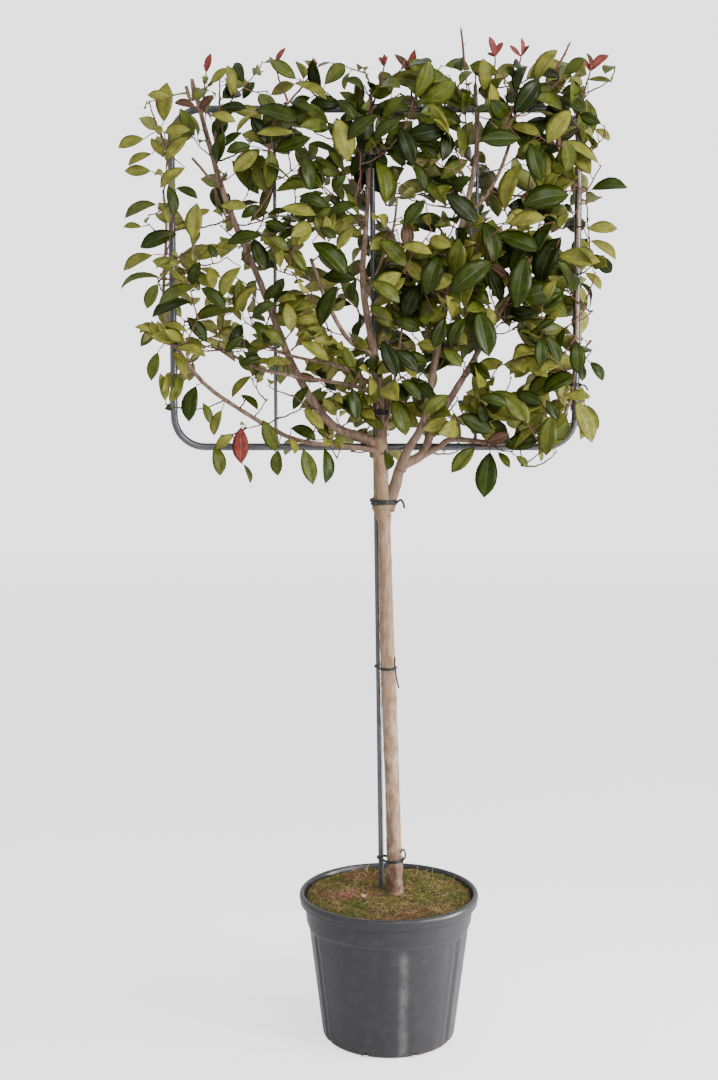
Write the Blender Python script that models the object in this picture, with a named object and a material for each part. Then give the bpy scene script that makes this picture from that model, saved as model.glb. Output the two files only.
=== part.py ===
"""Potted red tip photinia: a half-standard trained flat on a tube frame, in its nursery pot.

Metres, +Z up. The origin is the centre of the pot's flat underside. +X runs to the right
along the flat crown, and +Y runs from the front of the plant to its back.
"""
import math
import random

import bmesh
import bpy
import numpy as np
from mathutils import Vector

# Clearance between the faces of neighbouring pieces
GAP = 0.0003
SAFE_GAP = 0.0005

# Pot: outer sizes of a 40 cm nursery pot
POT_SEGMENTS = 36
POT_HEIGHT = 0.330
POT_RIM_RADIUS = 0.2025
POT_RIM_DEPTH = 0.024
POT_LIP_WIDTH = 0.012
POT_COLLAR_RADIUS = 0.190
POT_COLLAR_DEPTH = 0.040
POT_STEP_HEIGHT = 0.006
POT_WALL_TOP_RADIUS = 0.181
POT_BASE_RADIUS = 0.150
POT_FOOT_CHAMFER = 0.008
POT_WALL = 0.0045
POT_FLOOR = 0.010
POT_FLUTE_DEPTH = 0.0016
POT_FLUTE_EVERY = 3
POT_FLUTE_LOW = 0.080
POT_FLUTE_HIGH = 0.246
POT_LOW_SPREAD = 0.010
POT_HIGH_DRAW = 0.003
POT_COLLAR_DRAW = 0.004
POT_RIM_SIDE = 0.009
POT_RIM_ROUND = 0.005
POT_EASE = 0.002

# Root ball: its top is flat round the trunk's foot and slightly uneven outside that
SOIL_TOP = 0.316
SOIL_EDGE_DROP = 0.004
SOIL_UNEVEN = 0.003
SOIL_UNEVEN_RADII = (0.150, 0.100)
SOIL_FLAT_RADIUS = 0.048
SOIL_SEED = 5

# Trunk: (height, x of its axis, radius) from the root flare, past the graft knob, to the fork
TRUNK_FOOT = SOIL_TOP + GAP
TRUNK_RINGS = (
    (TRUNK_FOOT, 0.0140, 0.0212),
    (0.332, 0.0137, 0.0190),
    (0.380, 0.0128, 0.0176),
    (0.585, 0.0070, 0.0168),
    (0.915, -0.0050, 0.0155),
    (1.150, -0.0115, 0.0142),
    (1.180, -0.0140, 0.0170),
    (1.205, -0.0155, 0.0218),
    (1.226, -0.0165, 0.0190),
    (1.250, -0.0175, 0.0160),
    (1.300, -0.0195, 0.0162),
    (1.340, -0.0205, 0.0165),
    (1.352, -0.0208, 0.0118),
)
TRUNK_SIDES = 10

# Training frame: a rounded rectangle of round tube with two inner rods and a foot
FRAME_Y = 0.027
FRAME_LEFT = -0.477
FRAME_RIGHT = 0.412
FRAME_BOTTOM = 1.333
FRAME_TOP = 2.066
TUBE_RADIUS = 0.008
TUBE_SIDES = 8
BEND_RADIUS = 0.068
BEND_STEPS = 6
ROD_RADIUS = 0.004
ROD_LEFT_X = -0.252
ROD_RIGHT_X = 0.191
UPRIGHT_RADIUS = 0.0061
UPRIGHT_FOOT_X = -0.0160
UPRIGHT_TOP_X = -0.0410

# Boughs: carrier, base radius, tip radius, and the few points that each bends through
THICK_BOUGH = 0.006
THICK_SIDES = 8
THIN_SIDES = 6
BOUGH_STEPS = 2
TIP_OF = "tip of "
BOUGHS = {
    "bough_leader": ("trunk", 0.0095, 0.0030, (
        (-0.0208, 0.000, 1.3523), (-0.0160, 0.001, 1.430), (-0.0330, 0.002, 1.535),
        (-0.0590, 0.002, 1.690), (-0.0500, 0.002, 1.850), (-0.0400, 0.002, 2.112))),
    "bough_left_main": ("trunk", 0.0090, 0.0045, (
        (-0.0180, 0.000, 1.331), (-0.0560, -0.001, 1.353), (-0.1330, 0.000, 1.388),
        (-0.2100, 0.002, 1.506), (-0.2810, 0.004, 1.686), (-0.3600, 0.005, 1.880),
        (-0.4270, 0.006, 2.120))),
    "bough_left_low": ("trunk", 0.0057, 0.0042, (
        (-0.0200, -0.003, 1.320), (-0.0600, -0.015, 1.331), (-0.1950, -0.008, 1.347),
        (-0.2850, -0.002, 1.389), (-0.4050, 0.006, 1.470), (-0.4740, 0.009, 1.560))),
    "bough_left_edge": ("tip of bough_left_low", 0.0042, 0.0026, (
        (-0.4740, 0.009, 1.560), (-0.4950, 0.008, 1.640), (-0.4870, 0.008, 1.810),
        (-0.4930, 0.008, 1.890))),
    "bough_left_inner_low": ("bough_leader", 0.0048, 0.0028, (
        (-0.0190, 0.000, 1.434), (-0.0720, -0.016, 1.465), (-0.2170, -0.026, 1.490),
        (-0.2900, -0.022, 1.506), (-0.3750, -0.016, 1.552))),
    "bough_left_inner_high": ("bough_leader", 0.0042, 0.0026, (
        (-0.0230, 0.000, 1.462), (-0.1090, -0.014, 1.508), (-0.2060, -0.024, 1.530),
        (-0.2650, -0.022, 1.552), (-0.3000, -0.018, 1.602))),
    "bough_left_stub": ("bough_leader", 0.0055, 0.0042, (
        (-0.0330, 0.002, 1.532), (-0.0920, -0.008, 1.570), (-0.1400, -0.008, 1.655),
        (-0.1720, -0.004, 1.742))),
    "bough_centre_low": ("bough_leader", 0.0036, 0.0026, (
        (-0.0190, 0.000, 1.366), (-0.0010, -0.012, 1.405), (0.0060, -0.014, 1.450),
        (0.0300, -0.012, 1.620))),
    "bough_centre_high": ("bough_leader", 0.0036, 0.0024, (
        (-0.0560, 0.002, 1.648), (-0.0280, -0.012, 1.712), (0.0050, -0.010, 1.800),
        (0.0160, -0.006, 1.875))),
    "bough_right_main": ("trunk", 0.0120, 0.0036, (
        (-0.0060, 0.000, 1.196), (0.0130, 0.000, 1.250), (0.0270, 0.000, 1.290),
        (0.0740, 0.002, 1.320), (0.0980, 0.004, 1.380), (0.1690, 0.006, 1.498),
        (0.2680, 0.008, 1.675))),
    "bough_right_inner": ("bough_right_main", 0.0092, 0.0042, (
        (0.0230, 0.000, 1.282), (0.0400, -0.006, 1.328), (0.0730, -0.018, 1.388),
        (0.0980, -0.018, 1.520), (0.1300, -0.010, 1.710), (0.1840, -0.003, 1.950),
        (0.1830, 0.000, 2.112))),
    "bough_right_low": ("bough_right_main", 0.0068, 0.0038, (
        (0.0660, 0.002, 1.312), (0.1080, -0.004, 1.333), (0.1400, -0.006, 1.350),
        (0.2560, -0.002, 1.342), (0.3560, 0.004, 1.362), (0.3980, 0.009, 1.432))),
    "bough_right_edge": ("tip of bough_right_low", 0.0038, 0.0026, (
        (0.3980, 0.009, 1.432), (0.4090, 0.009, 1.540), (0.4070, 0.008, 1.725),
        (0.4090, 0.008, 1.870), (0.4030, 0.008, 2.108))),
    "bough_right_outer": ("bough_right_inner", 0.0040, 0.0030, (
        (0.1580, -0.006, 1.828), (0.2050, -0.009, 1.872), (0.2440, -0.005, 1.947),
        (0.2690, 0.000, 2.040), (0.2660, 0.002, 2.100))),
}

# Ties: height of each level loop, and the limbs and bars that it holds together
TIE_RADIUS = 0.0018
TIE_SIDES = 4
TIE_ARC_STEPS = 12
SLANT_STEP = 0.002
TIES = {
    "tie_low": (0.400, ("trunk", "upright")),
    "tie_middle": (0.840, ("trunk", "upright")),
    "tie_graft": (1.212, ("trunk", "bough_right_main", "upright")),
    "tie_leader": (1.410, ("bough_leader", "upright")),
    "tie_left": (1.600, ("bough_left_edge", "frame_left")),
    "tie_right": (1.470, ("bough_right_edge", "frame_right")),
}

# Foliage: every mass keeps to its own box of the flat crown
CROWN_FRONT = -0.150
CROWN_BACK = 0.172
CROWN_SPREAD = (0.02, 0.095)
CELL_MARGIN = 0.0012
LEAF_LENGTH = (0.088, 0.116)
LEAF_WIDTH_SHARE = 0.46
LEAF_THICKNESS = 0.0042
LEAF_WIDEST_AT = 0.52
LEAF_ROOT = 0.0007
ROOT_SPACING = 0.0055
LEAF_CLEARANCE = 0.0055
LEAF_SPACING = 0.0042
LEAF_FREE_SHARE = 0.25
LEAF_TURN_SPREAD = 0.3
LEAF_LIGHT_SIDE = 0.6
LEAF_LIGHT_FRONT = 0.8
LEAF_LIGHT_TOP = (0.2, 1.0)
LEAF_SAMPLES_FROM = 0.08
LEAF_SAMPLES_LONG = 11
LEAF_SAMPLES_WIDE = (-1.0, -0.5, 0.0, 0.5, 1.0)
REACH_LEAF = 0.086
REACH_DEPTH = (-0.05, 0.07)
BARE_DEPTH = (-0.03, 0.04)
BARE = "bare"
STEM_LENGTH = 0.030
STEM_FRONT_PULL = 0.05
STEM_RADIUS = 0.0034
TWIG_RADIUS = 0.0026
TWIG_TIP_RADIUS = 0.0019
TWIG_CLEARANCE = 0.0022
TWIG_RINGS = 3
TWIG_SIDES = 3
TWIG_SAMPLES = 14
TWIG_FREE = 0.0126
TARGET_SPREAD = (0.25, 0.75)
BACK_LEAF_AT = (0.5, 0.9)
DOWNWARD_COST = 0.9
LEAST_RISE = 0.01
WHORL = (3, 4)
LEAF_TRIES = 5
LEAF_SPREAD = (38.0, 74.0)
GOLDEN_TURN = 2.4
PARENT_TRIES = 9
SHOOT_ARCH = 0.16
TIP = "tip"

# name: (carrier, height of the stem on it, box low x and z, box high x and z, twigs, seed)
MASSES = {
    "foliage_left_low": ("bough_left_low", 1.44, (-0.575, 1.262), (-0.300, 1.545), 6, 11),
    "foliage_left_mid": ("bough_left_edge", 1.66, (-0.592, 1.548), (-0.335, 1.825), 6, 12),
    "foliage_left_high": ("bough_left_edge", TIP, (-0.592, 1.828), (-0.366, 2.180), 6, 13),
    "foliage_inner_low": ("bough_left_main", 1.44, (-0.297, 1.250), (-0.035, 1.545), 6, 14),
    "foliage_inner_mid": ("bough_left_inner_high", TIP, (-0.332, 1.548), (-0.060, 1.825), 6, 15),
    "foliage_inner_high": ("bough_left_main", 1.85, (-0.363, 1.828), (-0.065, 2.192), 7, 16),
    "foliage_centre_low": ("bough_right_inner", 1.42, (-0.032, 1.262), (0.160, 1.545), 6, 17),
    "foliage_centre_mid": ("bough_centre_low", TIP, (-0.057, 1.548), (0.160, 1.825), 7, 18),
    "foliage_centre_high": ("bough_centre_high", TIP, (-0.062, 1.828), (0.160, 2.237), 8, 19),
    "foliage_right_low": ("bough_right_low", 1.358, (0.163, 1.222), (0.500, 1.545), 6, 20),
    "foliage_right_mid": ("bough_right_main", TIP, (0.163, 1.548), (0.500, 1.825), 7, 21),
    "foliage_right_high": ("bough_right_outer", 1.93, (0.163, 1.828), (0.520, 2.218), 7, 22),
}

# Furthest leaf tips and bare twig tips of each mass, as (x, z)
REACH = {
    "foliage_left_low": ((-0.379, 1.272), (-0.560, 1.500)),
    "foliage_left_mid": ((-0.589, 1.680), (-0.582, 1.800)),
    "foliage_left_high": ((-0.588, 1.985), (-0.396, 2.174), (-0.500, 2.140)),
    "foliage_inner_low": ((-0.162, 1.252), (-0.270, 1.264)),
    "foliage_inner_high": ((-0.244, 2.189), (-0.169, 2.168)),
    "foliage_centre_high": ((-0.014, 2.168), (0.051, 2.185)),
    "foliage_right_low": ((0.213, 1.224), (0.468, 1.484)),
    "foliage_right_mid": ((0.494, 1.751),),
    "foliage_right_high": ((0.517, 1.889), (0.450, 2.170), (0.274, 2.212), (0.222, 2.208)),
}
BARE_TIPS = {
    "foliage_centre_high": ((0.151, 2.231),),
    "foliage_right_high": ((0.386, 2.199),),
}

MATERIALS = {
    "pot": ((0.075, 0.075, 0.080), 0.42, 0.0),
    "soil": ((0.110, 0.105, 0.030), 0.95, 0.0),
    "bark": ((0.270, 0.185, 0.120), 0.80, 0.0),
    "bough": ((0.215, 0.130, 0.090), 0.75, 0.0),
    "steel": ((0.160, 0.160, 0.175), 0.35, 0.8),
    "tie": ((0.015, 0.015, 0.016), 0.60, 0.0),
    "foliage": ((0.060, 0.115, 0.025), 0.40, 0.0),
}
ROUND_ANGLE = 35.0


def clear_scene():
    for thing in list(bpy.data.objects):
        bpy.data.objects.remove(thing, do_unlink=True)


def material(key):
    """One Principled material for each kind of surface."""
    name = "finish_" + key
    if name in bpy.data.materials:
        return bpy.data.materials[name]
    colour, roughness, metallic = MATERIALS[key]
    made = bpy.data.materials.new(name)
    made.use_nodes = True
    shader = made.node_tree.nodes["Principled BSDF"]
    shader.inputs["Base Color"].default_value = (*colour, 1.0)
    shader.inputs["Roughness"].default_value = roughness
    shader.inputs["Metallic"].default_value = metallic
    made.diffuse_color = (*colour, 1.0)
    return made


def new_object(name, points, faces, finish, home=None):
    """A named object from points and faces, with every face turned outward."""
    mesh = bpy.data.meshes.new(name)
    mesh.from_pydata([tuple(p) for p in points], [], faces)
    work = bmesh.new()
    work.from_mesh(mesh)
    bmesh.ops.recalc_face_normals(work, faces=work.faces)
    work.to_mesh(mesh)
    work.free()
    mesh.materials.append(material(finish))
    made = bpy.data.objects.new(name, mesh)
    (home or bpy.context.scene.collection).objects.link(made)
    return made


def shade_round(thing):
    thing.data.shade_smooth()
    thing.data.set_sharp_from_angle(angle=math.radians(ROUND_ANGLE))


def turned(name, profile, finish, radius_at=None):
    """A closed turned solid: profile runs from the axis, round the outside, back to the axis."""
    points = []
    faces = []
    rings = []
    for radius, height in profile:
        if radius == 0.0:
            rings.append([len(points)])
            points.append((0.0, 0.0, height))
            continue
        ring = []
        for step in range(POT_SEGMENTS):
            angle = math.tau * step / POT_SEGMENTS
            reach, level = radius, height
            if radius_at:
                reach, level = radius_at(step, radius, height)
            ring.append(len(points))
            points.append((reach * math.cos(angle), reach * math.sin(angle), level))
        rings.append(ring)
    for low, high in zip(rings, rings[1:]):
        for step in range(POT_SEGMENTS):
            after = (step + 1) % POT_SEGMENTS
            if len(low) == 1:
                faces.append((low[0], high[step], high[after]))
            elif len(high) == 1:
                faces.append((low[step], high[0], low[after]))
            else:
                faces.append((low[step], high[step], high[after], low[after]))
    return new_object(name, points, faces, finish)


def ring_faces(rings, sides):
    """Faces of a tube with flat ends, whose points come ring by ring."""
    faces = [tuple(reversed(range(sides)))]
    for ring in range(rings - 1):
        base = ring * sides
        for step in range(sides):
            after = (step + 1) % sides
            faces.append((base + step, base + after, base + sides + after, base + sides + step))
    last = (rings - 1) * sides
    faces.append(tuple(range(last, last + sides)))
    return faces


def tube_mesh(centres, radii, sides, start_way=None):
    """Points and faces of a round tube through the centres, with flat ends."""
    centres = [Vector(c) for c in centres]
    ways = []
    for index in range(len(centres)):
        before = centres[max(index - 1, 0)]
        after = centres[min(index + 1, len(centres) - 1)]
        ways.append((after - before).normalized())
    if start_way is not None:
        ways[0] = Vector(start_way).normalized()
    across = ways[0].cross(Vector((0.0, 1.0, 0.0)))
    if across.length < 0.1:
        across = ways[0].cross(Vector((1.0, 0.0, 0.0)))
    points = []
    for centre, way, radius in zip(centres, ways, radii):
        across = (across - way * across.dot(way)).normalized()
        beside = way.cross(across)
        for step in range(sides):
            angle = math.tau * step / sides
            points.append(centre + (across * math.cos(angle) + beside * math.sin(angle)) * radius)
    return points, ring_faces(len(centres), sides)


def smooth_path(points, steps):
    """A Catmull-Rom curve through the points."""
    knots = [np.array(p, float) for p in points]
    knots = [2 * knots[0] - knots[1]] + knots + [2 * knots[-1] - knots[-2]]
    path = []
    for a, b, c, d in zip(knots, knots[1:], knots[2:], knots[3:]):
        for step in range(steps):
            t = step / steps
            path.append(0.5 * ((2 * b) + (c - a) * t + (2 * a - 5 * b + 4 * c - d) * t * t
                               + (3 * b - a - 3 * c + d) * t ** 3))
    path.append(knots[-2])
    return path


def taper(path, first, last):
    """Radii that fall evenly with the length along the path."""
    lengths = [0.0]
    for a, b in zip(path, path[1:]):
        lengths.append(lengths[-1] + float(np.linalg.norm(b - a)))
    return [first + (last - first) * run / lengths[-1] for run in lengths]


def pot_inside():
    """The inner wall under the rim, below the collar and at the floor, as (radius, height)."""
    rim_low = POT_HEIGHT - POT_RIM_DEPTH
    step_low = rim_low - POT_COLLAR_DEPTH - POT_STEP_HEIGHT
    return (
        (POT_COLLAR_RADIUS - POT_WALL, rim_low - 2 * POT_EASE),
        (POT_WALL_TOP_RADIUS - POT_WALL, step_low),
        (POT_BASE_RADIUS - POT_WALL, POT_FLOOR),
    )


def pot_profile():
    """Up the outside from the underside's middle, over the rolled rim and down to the floor."""
    inner_rim = POT_RIM_RADIUS - POT_LIP_WIDTH
    rim_low = POT_HEIGHT - POT_RIM_DEPTH
    collar_low = rim_low - POT_COLLAR_DEPTH
    return (
        (0.0, 0.0),
        (POT_BASE_RADIUS - POT_FOOT_CHAMFER, 0.0),
        (POT_BASE_RADIUS, POT_FOOT_CHAMFER),
        (POT_BASE_RADIUS + POT_LOW_SPREAD, POT_FLUTE_LOW),
        (POT_WALL_TOP_RADIUS - POT_HIGH_DRAW, POT_FLUTE_HIGH),
        (POT_WALL_TOP_RADIUS, collar_low - POT_STEP_HEIGHT),
        (POT_COLLAR_RADIUS - POT_COLLAR_DRAW, collar_low),
        (POT_COLLAR_RADIUS, rim_low),
        (POT_RIM_RADIUS - POT_EASE, rim_low + POT_EASE),
        (POT_RIM_RADIUS, rim_low + POT_RIM_SIDE),
        (POT_RIM_RADIUS - 0.5 * POT_EASE, POT_HEIGHT - POT_RIM_ROUND),
        (POT_RIM_RADIUS - POT_RIM_ROUND, POT_HEIGHT),
        (inner_rim + POT_EASE, POT_HEIGHT),
        (inner_rim, POT_HEIGHT - 1.5 * POT_EASE),
        *pot_inside(),
        (0.0, POT_FLOOR),
    )


def make_pot():
    """The flutes are every third segment of the wall, drawn in a little below the collar."""
    def radius_at(step, radius, height):
        if height in (POT_FLUTE_LOW, POT_FLUTE_HIGH) and step % POT_FLUTE_EVERY == 0:
            return radius - POT_FLUTE_DEPTH, height
        return radius, height

    shade_round(turned("pot", pot_profile(), "pot", radius_at))


def make_soil():
    """The root ball fills the pot to just under its rim."""
    rng = random.Random(SOIL_SEED)
    bumps = {}
    for ring in SOIL_UNEVEN_RADII:
        bumps[ring] = [SOIL_UNEVEN * rng.uniform(-1.0, 1.0) for _ in range(POT_SEGMENTS)]
    (rim_radius, rim_height), (collar_radius, collar_height), (floor_radius, floor_height) = (
        pot_inside())
    inside = (
        (0.0, floor_height + SAFE_GAP),
        (floor_radius - 2 * SAFE_GAP, floor_height + SAFE_GAP),
        (collar_radius - 2 * SAFE_GAP, collar_height),
        (rim_radius - 2 * SAFE_GAP, rim_height),
        (rim_radius - 2 * SAFE_GAP, SOIL_TOP - SOIL_EDGE_DROP),
        *((ring, SOIL_TOP) for ring in SOIL_UNEVEN_RADII),
        (SOIL_FLAT_RADIUS, SOIL_TOP),
        (0.0, SOIL_TOP),
    )

    def radius_at(step, radius, height):
        if radius in bumps:
            height += bumps[radius][step]
        return radius, height

    shade_round(turned("root_ball", inside, "soil", radius_at))


def trunk_mesh(extra=0.0):
    """Level rings keep the foot and the top of the trunk flat."""
    points = []
    for height, x, radius in TRUNK_RINGS:
        radius += extra
        for step in range(TRUNK_SIDES):
            angle = math.tau * step / TRUNK_SIDES
            points.append((x + radius * math.cos(angle), radius * math.sin(angle), height))
    return points, ring_faces(len(TRUNK_RINGS), TRUNK_SIDES)


def trunk_line():
    path = [np.array((x, 0.0, height)) for height, x, _ in TRUNK_RINGS]
    return path, [radius for _, _, radius in TRUNK_RINGS]


def bough_line(name):
    _, first, last, points = BOUGHS[name]
    path = smooth_path(points, BOUGH_STEPS)
    return path, taper(path, first, last)


def end_way(path):
    way = path[-1] - path[-2]
    return way / np.linalg.norm(way)


def bough_mesh(name, extra=0.0):
    """A bough starts inside its carrier, or goes on from the tip of the bough before it."""
    carrier, first = BOUGHS[name][:2]
    path, radii = bough_line(name)
    start_way = None
    if carrier.startswith(TIP_OF):
        before = bough_line(carrier.removeprefix(TIP_OF))[0]
        start_way = end_way(before)
        path[0] = before[-1] + start_way * GAP
    if name == "bough_leader":
        start_way = (0.0, 0.0, 1.0)
    sides = THICK_SIDES if first > THICK_BOUGH else THIN_SIDES
    return tube_mesh(path, [radius + extra for radius in radii], sides, start_way)


def cut_clear(thing, points, faces):
    """Cut the thing back so that it stands clear of the limb that carries it."""
    cutter = new_object("cutter", points, faces, "bough")
    cutter.hide_render = True
    cutter.display_type = 'WIRE'
    cut = thing.modifiers.new("cut", 'BOOLEAN')
    cut.operation = 'DIFFERENCE'
    cut.solver = 'EXACT'
    cut.object = cutter
    bake(thing)
    bpy.data.objects.remove(cutter, do_unlink=True)


def bake(thing):
    """Turn the modified shape into the object's own mesh, and keep only its largest piece."""
    shape = thing.evaluated_get(bpy.context.evaluated_depsgraph_get())
    mesh = bpy.data.meshes.new_from_object(shape)
    thing.modifiers.clear()
    thing.data = mesh
    keep_largest(mesh)


def keep_largest(mesh):
    """Drop loose scraps and sealed hollows, which are separate shells."""
    work = bmesh.new()
    work.from_mesh(mesh)
    unseen = set(work.verts)
    shells = []
    while unseen:
        front = [unseen.pop()]
        shell = set(front)
        while front:
            for edge in front.pop().link_edges:
                for vert in edge.verts:
                    if vert in unseen:
                        unseen.discard(vert)
                        shell.add(vert)
                        front.append(vert)
        shells.append(shell)
    shells.sort(key=len, reverse=True)
    for shell in shells[1:]:
        bmesh.ops.delete(work, geom=list(shell), context='VERTS')
    work.to_mesh(mesh)
    work.free()


def make_bough(name):
    carrier = BOUGHS[name][0]
    thing = new_object(name, *bough_mesh(name), "bough")
    if carrier == "trunk" and name != "bough_leader":
        cut_clear(thing, *trunk_mesh(SAFE_GAP))
    elif carrier in BOUGHS:
        cut_clear(thing, *bough_mesh(carrier, SAFE_GAP))
    shade_round(thing)


def upright_x(height):
    share = (height - SOIL_TOP) / (FRAME_TOP - SOIL_TOP)
    return UPRIGHT_FOOT_X + (UPRIGHT_TOP_X - UPRIGHT_FOOT_X) * share


def frame_lines():
    """Every straight tube, bend and rod of the frame as (path, radius)."""
    inset = BEND_RADIUS + GAP
    seat = TUBE_RADIUS + SAFE_GAP
    left, right, low, high = FRAME_LEFT, FRAME_RIGHT, FRAME_BOTTOM, FRAME_TOP

    def line(x0, z0, x1, z1, radius):
        return [np.array((x0, FRAME_Y, z0)), np.array((x1, FRAME_Y, z1))], radius

    lines = {
        "frame_top": line(left + inset, high, right - inset, high, TUBE_RADIUS),
        "frame_bottom": line(left + inset, low, right - inset, low, TUBE_RADIUS),
        "frame_left": line(left, low + inset, left, high - inset, TUBE_RADIUS),
        "frame_right": line(right, low + inset, right, high - inset, TUBE_RADIUS),
        "rod_left": line(ROD_LEFT_X, low + seat, ROD_LEFT_X, high - seat, ROD_RADIUS),
        "rod_right": line(ROD_RIGHT_X, low + seat, ROD_RIGHT_X, high - seat, ROD_RADIUS),
        "upright_low": line(upright_x(TRUNK_FOOT), TRUNK_FOOT, upright_x(low), low - seat,
                            UPRIGHT_RADIUS),
        "upright_high": line(upright_x(low), low + seat, upright_x(high), high - seat,
                             UPRIGHT_RADIUS),
    }
    corners = {
        "frame_bend_low_left": (left + BEND_RADIUS, low + BEND_RADIUS, 180.0),
        "frame_bend_low_right": (right - BEND_RADIUS, low + BEND_RADIUS, 270.0),
        "frame_bend_high_right": (right - BEND_RADIUS, high - BEND_RADIUS, 0.0),
        "frame_bend_high_left": (left + BEND_RADIUS, high - BEND_RADIUS, 90.0),
    }
    for name, (x, z, first) in corners.items():
        path = []
        for step in range(BEND_STEPS + 1):
            angle = math.radians(first + 90.0 * step / BEND_STEPS)
            path.append(np.array((x + BEND_RADIUS * math.cos(angle), FRAME_Y,
                                  z + BEND_RADIUS * math.sin(angle))))
        lines[name] = (path, TUBE_RADIUS)
    return lines


def make_frame():
    for name, (path, radius) in frame_lines().items():
        start_way = None
        if name == "upright_low":
            start_way = (0.0, 0.0, 1.0)
        if "bend" in name:
            start_way = nearest_axis(path[1] - path[0])
        points, faces = tube_mesh(path, [radius] * len(path), TUBE_SIDES, start_way)
        if "bend" in name:
            points = square_end(points, path, radius)
        shade_round(new_object(name, points, faces, "steel"))


def nearest_axis(way):
    """The level or upright direction nearest to the way."""
    if abs(way[0]) > abs(way[2]):
        return (math.copysign(1.0, way[0]), 0.0, 0.0)
    return (0.0, 0.0, math.copysign(1.0, way[2]))


def square_end(points, path, radius):
    """Turn the last ring of a bend square to the straight tube that it meets."""
    way = Vector(nearest_axis(path[-1] - path[-2]))
    centre = Vector(path[-1])
    for index in range(len(points) - TUBE_SIDES, len(points)):
        offset = points[index] - centre
        offset = offset - way * offset.dot(way)
        points[index] = centre + offset.normalized() * radius
    return points


def axis_at(path, radii, height):
    """Centre and radius of a rising limb at a height."""
    for a, b, first, last in zip(path, path[1:], radii, radii[1:]):
        if a[2] <= height <= b[2]:
            share = (height - a[2]) / (b[2] - a[2])
            return a + (b - a) * share, first + (last - first) * share
    return path[-1], radii[-1]


def limb_line(name):
    if name == "trunk":
        return trunk_line()
    if name in BOUGHS:
        return bough_line(name)
    if name == "upright":
        path, radius = frame_lines()["upright_low"]
        return [path[0], np.array((upright_x(FRAME_TOP), FRAME_Y, FRAME_TOP))], [radius] * 2
    path, radius = frame_lines()[name]
    return path, [radius] * len(path)


def outer_loop(places):
    """The convex outline of level points, in turning order."""
    def half(ordered):
        chain = []
        for place in ordered:
            while len(chain) > 1:
                (ax, ay), (bx, by) = chain[-2:]
                if (bx - ax) * (place[1] - ay) - (by - ay) * (place[0] - ax) > 0.0:
                    break
                chain.pop()
            chain.append(place)
        return chain[:-1]

    places = sorted(places)
    return half(places) + half(places[::-1])


def tie_path(name):
    """A level belt drawn tight round the limbs and the bar."""
    height, held = TIES[name]
    corner = 1.0 / math.cos(math.pi / TIE_ARC_STEPS)
    places = []
    for limb in held:
        path, radii = limb_line(limb)
        centre, radius = axis_at(path, radii, height)
        above = axis_at(path, radii, height + SLANT_STEP)[0]
        slant = np.linalg.norm(above - centre) / SLANT_STEP
        reach = (radius * slant + TIE_RADIUS + SAFE_GAP) * corner
        for step in range(TIE_ARC_STEPS):
            angle = math.tau * step / TIE_ARC_STEPS
            places.append((centre[0] + reach * math.cos(angle),
                           centre[1] + reach * math.sin(angle)))
    return [(x, y, height) for x, y in outer_loop(places)]


def make_tie(name):
    path = [Vector(p) for p in tie_path(name)]
    count = len(path)
    points = []
    for index, centre in enumerate(path):
        way = (path[(index + 1) % count] - path[index - 1]).normalized()
        outward = way.cross(Vector((0.0, 0.0, 1.0)))
        for step in range(TIE_SIDES):
            angle = math.tau * step / TIE_SIDES
            points.append(centre + (outward * math.cos(angle)
                                    + Vector((0.0, 0.0, 1.0)) * math.sin(angle)) * TIE_RADIUS)
    faces = []
    for ring in range(count):
        base = ring * TIE_SIDES
        after_base = (ring + 1) % count * TIE_SIDES
        for step in range(TIE_SIDES):
            after = (step + 1) % TIE_SIDES
            faces.append((base + step, base + after, after_base + after, after_base + step))
    shade_round(new_object(name, points, faces, "tie"))


class Obstacles:
    """Every limb, bar and tie as round-ended rods, for clearances."""

    def __init__(self):
        starts, ends, radii = [], [], []
        lines = [trunk_line()] + [bough_line(name) for name in BOUGHS]
        lines += [(path, [radius] * len(path)) for path, radius in frame_lines().values()]
        for name in TIES:
            loop = [np.array(p) for p in tie_path(name)]
            lines.append((loop + loop[:1], [TIE_RADIUS] * (len(loop) + 1)))
        for path, widths in lines:
            for a, b, first, last in zip(path, path[1:], widths, widths[1:]):
                starts.append(a)
                ends.append(b)
                radii.append(max(first, last))
        self.starts = np.array(starts)
        self.ways = np.array(ends) - self.starts
        self.lengths = np.maximum((self.ways ** 2).sum(1), 1e-12)
        self.radii = np.array(radii)

    def clearance(self, samples):
        """Least distance from any sample point to any limb's surface."""
        samples = np.asarray(samples)[:, None, :]
        share = ((samples - self.starts) * self.ways).sum(2) / self.lengths
        share = np.clip(share, 0.0, 1.0)[..., None]
        nearest = self.starts + share * self.ways
        return float((np.linalg.norm(samples - nearest, axis=2) - self.radii).min())


def unit(vector):
    vector = np.asarray(vector, float)
    return vector / max(np.linalg.norm(vector), 1e-9)


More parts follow.
